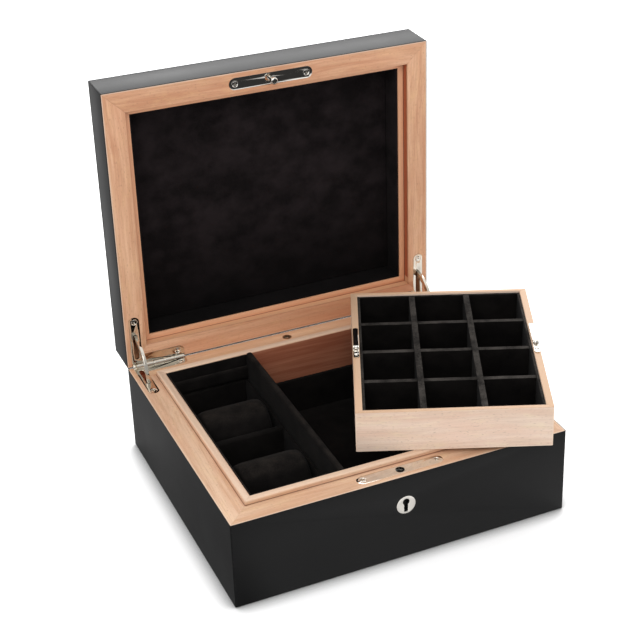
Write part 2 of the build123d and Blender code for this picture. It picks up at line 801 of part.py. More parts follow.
# Sliding bolt: the post's head drops through its eye, and the throat then slides under
# the head; its tail hangs beside the post to the key, with a talon that the bit pushes
bolt_z = rim_z - bolt_drop
head_low = rim_z + lid_gap - post_length
with BuildPart() as lock_bolt:
    with BuildSketch(Plane.XY.offset(bolt_z)) as bolt_plan:
        with Locations((0, lock_y)):
            Rectangle(bolt_length, case_width - 2 * (case_wall + bolt_play))
            Circle(bolt_eye_r, mode=Mode.SUBTRACT)
        with Locations((bolt_travel / 2, lock_y)):
            SlotCenterToCenter(bolt_travel, bolt_throat, mode=Mode.SUBTRACT)
    extrude(amount=-bolt_t)
    with BuildSketch(Plane.XZ.offset(-lock_y)) as tail_plan:
        tail_x = bolt_length / 2 - tail_width
        foot_top = head_low - tail_gap
        talon_z = key_z + key_rise
        with BuildLine():
            Polyline(
                (tail_x, bolt_z - bolt_t),
                (tail_x, foot_top),
                (-tail_foot / 2, foot_top),
                (-tail_foot / 2, talon_z),
                (bolt_length / 2, talon_z),
                (bolt_length / 2, bolt_z - bolt_t),
                close=True,
            )
        make_face()
        with Locations((0, talon_z)):
            Circle(talon_r, mode=Mode.SUBTRACT)
    extrude(amount=tail_t / 2, both=True)
lock_bolt.part.label = "lock_bolt"
export_step(lock_bolt.part, "parts/lock_bolt.step")

# Keyhole escutcheon on the front
with BuildPart() as keyhole_escutcheon:
    with BuildSketch(Plane.XZ.offset(hd + escutcheon_proud)):
        with Locations((0, key_z)):
            Circle(escutcheon_r)
            add(keyhole(), mode=Mode.SUBTRACT)
    extrude(amount=-escutcheon_t)
keyhole_escutcheon.part.label = "keyhole_escutcheon"
export_step(keyhole_escutcheon.part, "parts/keyhole_escutcheon.step")

# Turned cup in the middle of the back rim
with BuildPart() as rear_rim_cup:
    with Locations((0, hd - cup_inset, rim_z)):
        Cylinder(cup_r, cup_height, align=top)
        Cylinder(cup_bore_r, cup_bore, align=top, mode=Mode.SUBTRACT)
    with Locations((0, hd - cup_inset, rim_z - cup_bore)):
        Cylinder(cup_boss_r, cup_boss, align=bottom)
rear_rim_cup.part.label = "rear_rim_cup"
export_step(rear_rim_cup.part, "parts/rear_rim_cup.step")

# Strike plate in the lid's front rim
with BuildPart() as strike_plate:
    with BuildSketch(in_lid(Plane.XY)):
        add(lock_plan.sketch)
        with Locations((0, lock_y)):
            Circle(post_r, mode=Mode.SUBTRACT)
    extrude(amount=leaf)
    with Locations(*[in_lid(Plane((x, y, 0), z_dir=(0, 0, -1))) for x, y in lock_screw_places]):
        CounterSinkHole(screw_shank_r, screw_head_r, depth=leaf)
strike_plate.part.label = "strike_plate"
export_step(strike_plate.part, "parts/strike_plate.step")

# Mushroom post, turned, riveted through the strike plate
with BuildPart() as strike_post:
    with BuildSketch(in_lid(Plane(origin=(0, lock_y, 0), x_dir=(1, 0, 0), z_dir=(0, -1, 0)))):
        with BuildLine():
            Polyline(
                (0, leaf + post_flange),
                (post_head_r, leaf + post_flange),
                (post_head_r, leaf),
                (post_r, leaf),
                (post_r, post_head - post_length),
                (post_head_r, post_head - post_length),
                (post_head_r, post_tip - post_length),
                (post_head_r - post_tip, -post_length),
                (0, -post_length),
                close=True,
            )
        make_face()
    revolve(axis=Axis(in_lid(Plane((0, lock_y, 0))).origin, lid_up.direction))
strike_post.part.label = "strike_post"
export_step(strike_post.part, "parts/strike_post.step")

# Countersunk screws of the base's hinges and lock
with BuildPart() as base_screws:
    with Locations(*[(x, y, rim_z) for x, y in screw_places]):
        Cylinder(screw_shank_r, screw_length, align=top)
        Cone(screw_shank_r, screw_head_r, sink, align=top)
base_screws.part.label = "base_screws"
export_step(base_screws.part, "parts/base_screws.step")

# Countersunk screws of the lid's hinges and strike plate
with BuildPart() as lid_screws:
    with Locations(*[in_lid(Plane((x, y, 0))) for x, y in screw_places]):
        Cylinder(screw_shank_r, screw_length, align=bottom)
        Cone(screw_head_r, screw_shank_r, sink, align=bottom)
lid_screws.part.label = "lid_screws"
export_step(lid_screws.part, "parts/lid_screws.step")

# Tray boards, mitred, grooved for the bottom; the side boards carry the handles and are
# thicker than the front and back
tray_middle = (tray_width / 2, tray_length / 2)
tray_in_x = tray_width - 2 * tray_wall
tray_in_y = tray_length - 2 * tray_end_wall
tray_floor = tray_panel_lift + tray_panel
with BuildPart() as tray_bottom:
    with BuildSketch(in_tray(Plane.XY.offset(tray_panel_lift))):
        with Locations(tray_middle):
            Rectangle(tray_in_x + 2 * tray_tongue, tray_in_y + 2 * tray_tongue)
    extrude(amount=tray_panel)
tray_bottom.part.label = "tray_bottom"
export_step(tray_bottom.part, "parts/tray_bottom.step")
for side, start, end in (
    ("front", (-0.5, -0.5), (0.5, -0.5)),
    ("right", (0.5, -0.5), (0.5, 0.5)),
    ("back", (0.5, 0.5), (-0.5, 0.5)),
    ("left", (-0.5, 0.5), (-0.5, -0.5)),
):
    with BuildPart() as tray_board:
        with BuildSketch(in_tray(Plane(tray_middle))):
            with BuildLine():
                Polyline(
                    (start[0] * tray_width, start[1] * tray_length),
                    (end[0] * tray_width, end[1] * tray_length),
                    (end[0] * tray_in_x, end[1] * tray_in_y),
                    (start[0] * tray_in_x, start[1] * tray_in_y),
                    close=True,
                )
            make_face()
        extrude(amount=tray_height)
        add(tray_bottom.part, mode=Mode.SUBTRACT)
    tray_board.part.label = f"tray_{side}_board"
    export_step(tray_board.part, f"parts/tray_{side}_board.step")

# Lining of the tray, one lined insert with a floor and four sides
with BuildPart() as tray_lining:
    with BuildSketch(in_tray(Plane.XY.offset(tray_floor))):
        with Locations(tray_middle):
            Rectangle(tray_in_x, tray_in_y)
    extrude(amount=tray_height - tray_lining_drop - tray_floor)
    with BuildSketch(in_tray(Plane.XY.offset(tray_floor + tray_floor_lining))):
        with Locations(tray_middle):
            Rectangle(tray_in_x - 2 * tray_side_lining, tray_in_y - 2 * tray_side_lining)
    extrude(amount=tray_height, mode=Mode.SUBTRACT)
tray_lining.part.label = "tray_lining"
export_step(tray_lining.part, "parts/tray_lining.step")

# Padded dividers of the tray: long ones front to back, short ones between them
cell_floor = tray_floor + tray_floor_lining
cell_left = tray_wall + tray_side_lining
cell_front = tray_end_wall + tray_side_lining
cells_x = tray_in_x - 2 * tray_side_lining
cells_y = tray_in_y - 2 * tray_side_lining
cell_x = (cells_x - (tray_columns - 1) * long_divider_t) / tray_columns
cell_y = (cells_y - (tray_rows - 1) * cross_divider_t) / tray_rows
with BuildPart() as tray_long_dividers:
    with BuildSketch(in_tray(Plane.XY.offset(cell_floor))):
        with Locations(
            *[
                (cell_left + k * cell_x + (k - 1) * long_divider_t, cell_front)
                for k in range(1, tray_columns)
            ]
        ):
            Rectangle(long_divider_t, cells_y, align=corner)
    extrude(amount=tray_height - long_divider_drop - cell_floor)
    crests = tray_long_dividers.faces().group_by(Axis.Z)[-1]
    fillet([e for f in crests for e in f.edges().sort_by(SortBy.LENGTH)[-2:]], long_divider_t / 2 - 0.1)
tray_long_dividers.part.label = "tray_long_dividers"
export_step(tray_long_dividers.part, "parts/tray_long_dividers.step")
with BuildPart() as tray_cross_dividers:
    with BuildSketch(in_tray(Plane.XY.offset(cell_floor))):
        with Locations(
            *[
                (
                    cell_left + j * (cell_x + long_divider_t),
                    cell_front + k * cell_y + (k - 1) * cross_divider_t,
                )
                for j in range(tray_columns)
                for k in range(1, tray_rows)
            ]
        ):
            Rectangle(cell_x, cross_divider_t, align=corner)
    extrude(amount=tray_height - cross_divider_drop - cell_floor)
    crests = tray_cross_dividers.faces().group_by(Axis.Z)[-1]
    fillet([e for f in crests for e in f.edges().sort_by(SortBy.LENGTH)[-2:]], cross_divider_t / 2 - 0.1)
tray_cross_dividers.part.label = "tray_cross_dividers"
export_step(tray_cross_dividers.part, "parts/tray_cross_dividers.step")

# Handle plates on the side boards, each with two ears, a pin and a screw
pivot_y = tray_length / 2
pivot_z = tray_height + handle_ear_r
handle_places = (("left", tray_wall / 2), ("right", tray_width - tray_wall / 2))
with BuildPart() as tray_handle_plates:
    for side, x in handle_places:
        with BuildSketch(in_tray(Plane.XY.offset(tray_height))):
            with Locations((x, pivot_y - plate_front / 2)):
                Rectangle(plate_width, plate_front)
            with Locations((x, pivot_y - plate_front)):
                Circle(plate_width / 2)
            with Locations((x, pivot_y)):
                Rectangle(
                    handle_eye_width + 2 * handle_play,
                    2 * (handle_eye_r + handle_play),
                    mode=Mode.SUBTRACT,
                )
        extrude(amount=plate_t)
        with BuildSketch(in_tray(Plane.YZ.offset(x))):
            with Locations((pivot_y, pivot_z)):
                Circle(handle_ear_r)
            with Locations((pivot_y, tray_height)):
                Rectangle(2 * handle_ear_r, handle_ear_r, align=(Align.CENTER, Align.MIN))
        extrude(amount=plate_width / 2, both=True)
        with BuildSketch(in_tray(Plane.YZ.offset(x))):
            with Locations((pivot_y, pivot_z)):
                Circle(handle_ear_r + handle_play)
            with Locations((pivot_y, tray_height)):
                Rectangle(
                    2 * (handle_ear_r + handle_play),
                    handle_ear_r,
                    align=(Align.CENTER, Align.MIN),
                )
        extrude(amount=handle_eye_width / 2 + handle_play, both=True, mode=Mode.SUBTRACT)
        with BuildSketch(in_tray(Plane.YZ.offset(x))):
            with Locations((pivot_y, pivot_z)):
                Circle(handle_pin_r)
        extrude(amount=plate_width / 2, both=True)
tray_handle_plates.part.label = "tray_handle_plates"
export_step(tray_handle_plates.part, "parts/tray_handle_plates.step")
with BuildPart() as tray_handle_screws:
    screw_z = tray_height + plate_t
    with Locations(*[in_tray(Plane((x, pivot_y - handle_screw_y, screw_z))) for side, x in handle_places]):
        Cone(handle_screw_r, handle_screw_top_r, handle_screw_rise, align=bottom)
tray_handle_screws.part.label = "tray_handle_screws"
export_step(tray_handle_screws.part, "parts/tray_handle_screws.step")

# Handles: flat levers that lie along the tray's side and lift about their pins
for side, x in handle_places:
    with BuildPart() as tray_handle:
        flat_z = tray_height + handle_play
        clear_y = pivot_y + handle_ear_r + 2 * handle_play
        with BuildSketch(in_tray(Plane.YZ.offset(x))):
            with Locations((pivot_y, pivot_z)):
                Circle(handle_eye_r)
            with Locations((pivot_y, flat_z)):
                Rectangle(handle_length / 2, handle_t, align=corner)
        extrude(amount=handle_eye_width / 2, both=True)
        with BuildSketch(in_tray(Plane.XY.offset(flat_z))) as lever_plan:
            with Locations((x, clear_y)):
                Rectangle(
                    handle_width,
                    pivot_y + handle_length - clear_y,
                    align=(Align.CENTER, Align.MIN),
                )
            fillet(lever_plan.vertices().group_by(Axis.Y)[-1], handle_end_r)
        extrude(amount=handle_t)
        with BuildSketch(in_tray(Plane.YZ.offset(x))):
            with Locations((pivot_y, pivot_z)):
                Circle(handle_pin_r + pin_play)
        extrude(amount=handle_width, both=True, mode=Mode.SUBTRACT)
    tray_handle.part.label = f"tray_handle_{side}"
    export_step(tray_handle.part, f"parts/tray_handle_{side}.step")
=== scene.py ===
from math import pi, radians
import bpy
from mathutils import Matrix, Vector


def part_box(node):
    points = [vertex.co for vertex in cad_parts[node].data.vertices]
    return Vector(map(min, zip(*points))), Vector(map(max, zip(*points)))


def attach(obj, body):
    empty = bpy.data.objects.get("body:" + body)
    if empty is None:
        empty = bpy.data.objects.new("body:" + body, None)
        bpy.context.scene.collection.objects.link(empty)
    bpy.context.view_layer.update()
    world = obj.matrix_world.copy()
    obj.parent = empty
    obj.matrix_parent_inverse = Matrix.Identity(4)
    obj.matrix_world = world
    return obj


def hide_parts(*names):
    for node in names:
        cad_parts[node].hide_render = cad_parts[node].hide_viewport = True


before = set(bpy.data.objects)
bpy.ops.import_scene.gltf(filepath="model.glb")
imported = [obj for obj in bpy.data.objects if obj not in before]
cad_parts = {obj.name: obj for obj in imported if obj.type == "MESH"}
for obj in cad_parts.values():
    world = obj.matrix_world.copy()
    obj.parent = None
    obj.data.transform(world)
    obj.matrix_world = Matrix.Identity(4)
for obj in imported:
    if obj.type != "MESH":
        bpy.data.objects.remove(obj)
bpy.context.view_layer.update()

from types import SimpleNamespace

import bmesh
import bpy
from mathutils import Matrix, Vector, noise

# Camera: where the photograph was taken from, about 1.4 m away with a long lens,
# looking down on the open box from its front left, the picture cropped off centre.
mm = 0.001
picture = 640
focal_px = 1594.209
middle_px = (424.720, 281.581)
look_down, look_right = 27.760, 26.536
lens = bpy.data.cameras.new("camera")
lens.sensor_width = 36
lens.lens = focal_px / picture * lens.sensor_width
lens.shift_x = (picture / 2 - middle_px[0]) / picture
lens.shift_y = (middle_px[1] - picture / 2) / picture
lens.clip_start, lens.clip_end = 0.05, 40
camera = bpy.data.objects.new("camera", lens)
camera.location = (-460.52 * mm, -1087.07 * mm, 815.47 * mm)
camera.rotation_euler = (radians(90 - look_down), 0, radians(-look_right))
scene = bpy.context.scene
scene.collection.objects.link(camera)
scene.camera = camera
scene.view_settings.view_transform = "Standard"

# Floor: a pale paper sweep, pure white to the camera but for the soft shadow that hugs
# the foot of the box, darkest where the two meet. Bright metal mirrors it too, as far
# as the dark end of the studio.
sweep_half = 9
shadow_reach, shadow_level, paper_white = 14 * mm, 0.40, 1.40


def wire(tree, kind, feeds=(), out=0, **settings):
    """Adds a node, sets it, feeds its sockets in order or by key, and gives back its output."""
    made = tree.nodes.new(kind)
    for key, value in settings.items():
        setattr(made, key, value)
    pairs = feeds.items() if isinstance(feeds, dict) else enumerate(feeds)
    for key, value in pairs:
        if isinstance(value, bpy.types.NodeSocket):
            tree.links.new(value, made.inputs[key])
        elif value is not None:
            made.inputs[key].default_value = value
    return made.outputs[out]


def reckon(tree, operation, *values):
    """One sum on the surface's numbers."""
    return wire(tree, "ShaderNodeMath", values, operation=operation)


def times(tree, first, second):
    """One number times another."""
    return reckon(tree, "MULTIPLY", first, second)


def measured(tree, point, axis):
    """How far a point lies along one axis."""
    return wire(tree, "ShaderNodeSeparateXYZ", (point,), axis)


def between(tree, value, low, high, to_low=0.0, to_high=1.0):
    """Spreads part of a pattern's range over another range."""
    return wire(tree, "ShaderNodeMapRange", (value, low, high, to_low, to_high))


def blend_colour(tree, share, first, second):
    """One colour over another."""
    return wire(tree, "ShaderNodeMix", {0: share, 6: first, 7: second}, 2, data_type="RGBA")


sheet = bpy.data.meshes.new("paper_sweep")
corners = [(x * sweep_half, y * sweep_half, 0) for x, y in ((-1, -1), (1, -1), (1, 1), (-1, 1))]
sheet.from_pydata(corners, [], [(0, 1, 2, 3)])
sweep = bpy.data.objects.new("paper_sweep", sheet)
scene.collection.objects.link(sweep)
paper = bpy.data.materials.new("paper")
paper.use_nodes = True
tree = paper.node_tree
tree.nodes.clear()
tooth = wire(tree, "ShaderNodeTexNoise", {"Scale": 600.0, "Detail": 2.0})
pulp = blend_colour(tree, tooth, (0.80, 0.80, 0.80, 1), (0.84, 0.84, 0.84, 1))
matt = wire(tree, "ShaderNodeBsdfDiffuse", {"Color": pulp})
nearby = wire(tree, "ShaderNodeAmbientOcclusion", {"Distance": shadow_reach}, "AO")
contact = between(tree, nearby, 0.5, 1.0, shadow_level, 1.0)
white = wire(tree, "ShaderNodeBsdfDiffuse", {"Color": times(tree, contact, paper_white)})
where = wire(tree, "ShaderNodeTexCoord", out="Object")
beside, ahead = measured(tree, where, "X"), measured(tree, where, "Y")
paper_end = between(tree, ahead, -460 * mm, -340 * mm, 0.03, 0.85)
# What metal and lacquer see of the paper is painted darker to the left of the box, most towards the
# front, a painted shade.
shaded_side = between(tree, ahead, -100 * mm, 500 * mm, 0.26, 0.5)
lit_side = between(tree, beside, -150 * mm, -110 * mm)
paper_side = reckon(tree, "MAXIMUM", shaded_side, lit_side)
mirrored = wire(tree, "ShaderNodeBsdfDiffuse", {"Color": times(tree, paper_end, paper_side)})
ray = tree.nodes.new("ShaderNodeLightPath").outputs
in_metal = reckon(tree, "MAXIMUM", ray["Is Glossy Ray"], ray["Is Transmission Ray"])
paper_shader = wire(tree, "ShaderNodeMixShader", (in_metal, matt, mirrored))
paper_shader = wire(tree, "ShaderNodeMixShader", (ray["Is Camera Ray"], paper_shader, white))
tree.links.new(paper_shader, tree.nodes.new("ShaderNodeOutputMaterial").inputs["Surface"])
sheet.materials.append(paper)

# Studio: an even grey-white room, a wide soft box behind and above that brightens the
# lid's upper edge, and one at the front left for the inside of the lid. Bright metal
# mirrors the room's dimmer end, behind the camera, as well.
room_level, seen_gain = 0.90, 0.10
room = bpy.data.worlds.new("studio")
room.use_nodes = True
scene.world = room
tree = room.node_tree
tree.nodes.clear()
ray = tree.nodes.new("ShaderNodeLightPath").outputs
in_metal = reckon(tree, "MAXIMUM", ray["Is Glossy Ray"], ray["Is Transmission Ray"])
seen = reckon(tree, "MAXIMUM", ray["Is Camera Ray"], in_metal)
facing = measured(tree, wire(tree, "ShaderNodeTexCoord", out="Generated"), "Y")
dim_end = between(tree, facing, -0.8, -0.2, 0.42, 1.0)
dim_end = reckon(tree, "MAXIMUM", dim_end, reckon(tree, "SUBTRACT", 1.0, ray["Is Glossy Ray"]))
level = reckon(tree, "ADD", room_level, times(tree, seen, seen_gain))
level = times(tree, level, dim_end)
light = wire(tree, "ShaderNodeBackground", {"Color": (1, 1, 1, 1), "Strength": level})
tree.links.new(light, tree.nodes.new("ShaderNodeOutputWorld").inputs["Surface"])


def soft_box(name, place, aim, width, height, power):
    """A rectangular lamp with its face turned to a point on the object."""
    lamp = bpy.data.lights.new(name, "AREA")
    lamp.shape, lamp.size, lamp.size_y, lamp.energy = "RECTANGLE", width, height, power
    stand = bpy.data.objects.new(name, lamp)
    stand.location = place
    stand.rotation_euler = (Vector(aim) - Vector(place)).to_track_quat("-Z", "Y").to_euler()
    scene.collection.objects.link(stand)


box_middle = (0, 0.05, 0.1)
soft_box("back_soft_box", (1.0, 2.2, 1.9), box_middle, width=3.2, height=2.2, power=52)
soft_box("front_soft_box", (-1.0, -1.5, 2.0), box_middle, width=1.6, height=1.6, power=15)

# Base boards: a mitred case of plain board, lacquered satin black outside and round its
# top edge, and left bare where the fittings are let in. The lid's are made alike.
half_width, half_depth = 150 * mm, 131 * mm
base_height, base_under, lid_outside = 80 * mm, 1 * mm, 36.5 * mm
black_edge, coat_behind = 0.6 * mm, 0.5 * mm
keyway_half, keyway_top, keyway_back = 9 * mm, 70 * mm, -118 * mm
lid_back = half_depth + 0.25 * mm
lid_middle = base_height + lid_back
lid_place = Matrix(((1, 0, 0, 0), (0, 0, 1, lid_back), (0, -1, 0, lid_middle), (0, 0, 0, 1)))
deep_black, soft_black = (0.0052, 0.0052, 0.0054, 1), (0.0088, 0.0088, 0.0090, 1)
corner_grey, board_in_light = (0.030, 0.029, 0.028, 1), (0.66, 0.36, 0.20, 1)


def finish(name, colour, rough, bump=None, depth=0.1 * mm, metallic=0.0, **more):
    """Closes a material: its colour, roughness and relief go to one plain shader."""
    skin = bpy.data.materials[name]
    tree = skin.node_tree
    shader = tree.nodes.new("ShaderNodeBsdfPrincipled")
    shader.inputs["Metallic"].default_value = metallic
    for key, value in more.items():
        shader.inputs[key.replace("_", " ")].default_value = value
    tree.links.new(colour, shader.inputs["Base Color"])
    if isinstance(rough, bpy.types.NodeSocket):
        tree.links.new(rough, shader.inputs["Roughness"])
    else:
        shader.inputs["Roughness"].default_value = rough
    if bump is not None:
        relief = wire(tree, "ShaderNodeBump", {"Strength": 1.0, "Distance": depth, "Height": bump})
        tree.links.new(relief, shader.inputs["Normal"])
    tree.links.new(shader.outputs[0], tree.nodes.new("ShaderNodeOutputMaterial").inputs["Surface"])
    return skin


def surface(name, place=Matrix.Identity(4)):
    """Starts a material; its pattern is laid out in the frame of the part it is on."""
    skin = bpy.data.materials.new(name)
    skin.use_nodes = True
    tree = skin.node_tree
    tree.nodes.clear()
    spot = wire(tree, "ShaderNodeTexCoord", out="Object")
    laid = wire(
        tree,
        "ShaderNodeMapping",
        {"Vector": spot, "Location": place.to_translation(), "Rotation": place.to_euler()},
        vector_type="TEXTURE",
    )
    return tree, laid


def cloud(tree, laid, scale, stretch=(1, 1, 1), detail=2.0, rough=0.5, seed=0.0):
    """Soft noise, drawn out along the grain where it is stretched."""
    drawn = wire(tree, "ShaderNodeVectorMath", (laid, stretch), operation="MULTIPLY")
    return wire(
        tree,
        "ShaderNodeTexNoise",
        {"Vector": drawn, "W": seed, "Scale": scale, "Detail": detail, "Roughness": rough},
        noise_dimensions="4D",
    )


def past_edge(tree, value, half):
    """How far a point lies beyond the edge of something centred: less than 0 inside it."""
    return reckon(tree, "SUBTRACT", reckon(tree, "ABSOLUTE", value), half)


def lacquer(name, place, far_face, dark_board, pale_board, in_light_from=1.0):
    """Satin black lacquer on the outside and far face, flecks of paler grey at its vertical corners;
    bare board inside, its dark red a painted shade, painted lighter past a given line as board lying
    in light.
    """
    tree, laid = surface(name, place)
    across, along, level = (measured(tree, laid, axis) for axis in "XYZ")
    in_x, in_y = past_edge(tree, across, half_width), past_edge(tree, along, half_depth)
    inset = reckon(tree, "MAXIMUM", in_x, in_y)
    coated = reckon(tree, "GREATER_THAN", inset, -black_edge - 0.05 * mm)
    off_face = reckon(tree, "ABSOLUTE", reckon(tree, "SUBTRACT", level, far_face))
    coated = reckon(tree, "MAXIMUM", coated, reckon(tree, "LESS_THAN", off_face, coat_behind))
    central = reckon(tree, "LESS_THAN", reckon(tree, "ABSOLUTE", across), keyway_half)
    keyway = times(tree, central, reckon(tree, "LESS_THAN", level, keyway_top))
    keyway = times(tree, keyway, reckon(tree, "LESS_THAN", along, keyway_back))
    coated = reckon(tree, "MAXIMUM", coated, keyway)
    # Flecks of paler grey at the vertical corners of the case.
    corner = reckon(tree, "MINIMUM", in_x, in_y)
    paler_share = between(tree, corner, -2.2 * mm, -0.6 * mm)
    haze = cloud(tree, laid, 14, detail=3.0)
    corner_flecks = cloud(tree, laid, 420, detail=2.0, seed=2.0)
    black = blend_colour(tree, haze, deep_black, soft_black)
    paler = times(tree, paler_share, between(tree, corner_flecks, 0.5, 0.75))
    black = blend_colour(tree, times(tree, paler, 0.5), black, corner_grey)
    fibre = cloud(tree, laid, 900, detail=3.0, seed=5.0)
    # The bare board shows only in recesses and is painted dark red there, a painted shade; past a
    # given line along the board it is painted lighter, as board lying in light.
    board = blend_colour(tree, fibre, dark_board, pale_board)
    in_light = reckon(tree, "GREATER_THAN", along, in_light_from)
    board = blend_colour(tree, in_light, board, board_in_light)
    colour = blend_colour(tree, coated, board, black)
    satin = between(tree, haze, 0.3, 0.7, 0.30, 0.38)
    rough = wire(tree, "ShaderNodeMix", {0: coated, 2: 0.75, 3: satin})
    peel = cloud(tree, laid, 700, detail=1.0, seed=8.0)
    return finish(name, colour, rough, peel, 0.03 * mm, Specular_IOR_Level=0.18)


black_base = lacquer(
    "satin_black_base",
    Matrix.Identity(4),
    base_under,
    dark_board=(0.56, 0.17, 0.075, 1),
    pale_board=(0.70, 0.27, 0.13, 1),
)
# The lid's bare board is painted darker still, a painted shade, except along its hinge side, which is
# painted as lit.
black_lid = lacquer(
    "satin_black_lid",
    lid_place,
    lid_outside,
    dark_board=(0.36, 0.085, 0.035, 1),
    pale_board=(0.48, 0.14, 0.065, 1),
    in_light_from=105 * mm,
)


def place_piece(name, shape, skin, body, nodes=()):
    """Turns a finished shape into a piece of the object, on its body, for its CAD nodes."""
    mesh = bpy.data.meshes.new(name)
    shape.to_mesh(mesh)
    shape.free()
    mesh.materials.append(skin)
    mesh.shade_smooth()
    mesh.set_sharp_from_angle(angle=radians(32))
    piece = bpy.data.objects.new(name, mesh)
    scene.collection.objects.link(piece)
    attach(piece, body)
    if nodes:
        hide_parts(*nodes)
    return piece


def eased(node, finished, arris, skin, body, angle=30):
    """A rigid part as it leaves the bench, with its sharp edges just broken."""
    shape = bmesh.new()
    shape.from_mesh(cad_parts[node].data)
    bmesh.ops.remove_doubles(shape, verts=shape.verts, dist=0.002 * mm)
    bmesh.ops.dissolve_limit(shape, angle_limit=radians(0.5), verts=shape.verts, edges=shape.edges)
    joined = [e for e in shape.edges if len(e.link_faces) == 2]
    sharp = [e for e in joined if e.calc_face_angle(0) > radians(angle)]
    bmesh.ops.bevel(
        shape, geom=sharp, offset=arris, segments=2, profile=0.6, affect="EDGES", clamp_overlap=False
    )
    return place_piece(f"{node}_{finished}", shape, skin, body, (node,))


for side in ("front", "back", "left", "right"):
    broken = (0.05 if side == "back" else 0.25) * mm
    eased(f"base_{side}_wall", "lacquered", broken, black_base, "base")
    eased(f"lid_{side}_wall", "lacquered", broken, black_lid, "lid")
eased("lid_top_panel", "lacquered", 0.25 * mm, black_lid, "lid")

# Where base and lid meet: the edge of the lid's back board that lies next to the base is
# drawn a little towards it, so that no light shows through the slit between the two.
drawn_in = 0.2 * mm
slit_back, slit_top = half_depth + 0.6 * mm, base_height + 0.5 * mm
for vert in bpy.data.objects["lid_back_wall_lacquered"].data.vertices:
    if vert.co.y < slit_back and vert.co.z < slit_top:
        vert.co -= Vector((0, drawn_in, drawn_in))

# Bottom: a sheet of board let into the base, and black felt glued under it all so that
# the box stands softly.
tree, laid = surface("panel_board")
chips = cloud(tree, laid, 260, detail=4.0)
colour = blend_colour(tree, chips, (0.30, 0.19, 0.10, 1), (0.50, 0.35, 0.21, 1))
plain_board = finish("panel_board", colour, 0.8, chips, 0.1 * mm)
bottom_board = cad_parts["base_bottom_panel"]
bottom_board.data.materials.clear()
bottom_board.data.materials.append(plain_board)
tree, laid = surface("black_felt")
wool = cloud(tree, laid, 1500, detail=4.0, rough=0.7)
matted = cloud(tree, laid, 60, detail=3.0, seed=3.0)
tuft = reckon(tree, "ADD", times(tree, wool, 0.7), times(tree, matted, 0.3))
colour = blend_colour(tree, tuft, (0.004, 0.004, 0.004, 1), (0.022, 0.021, 0.020, 1))
felt = finish("black_felt", colour, 0.95, wool, 0.4 * mm, Sheen_Weight=0.15, Sheen_Roughness=0.6)
eased("base_felt", "laid", 0.3 * mm, felt, "base")

# Pale wood: the facings of both rims and the liner boards, sanded and oiled. The grain
# runs along each board and meets at the mitres; the lid's wood is the pinker, in part a painted shade.
rim_width, liner = 20 * mm, 7 * mm
hinge_side = half_depth - rim_width
lit_lip_top = (base_height + 3.0 * mm, base_height + 3.9 * mm)
lip_inside = (base_height + 3.3 * mm, base_height + 2.5 * mm)
edge_highlight, joint_and_riser_shade = (0.84, 0.66, 0.52, 1), (0.15, 0.034, 0.014, 1)
liner_shade_tone = (0.81, 0.405, 0.225, 1)
shade_red_dark, shade_red_pale = (0.30, 0.075, 0.035, 1), (0.47, 0.17, 0.09, 1)


def tinted(colour, red, green, blue):
    """A colour made lighter or darker, channel by channel."""
    return (colour[0] * red, colour[1] * green, colour[2] * blue, 1)


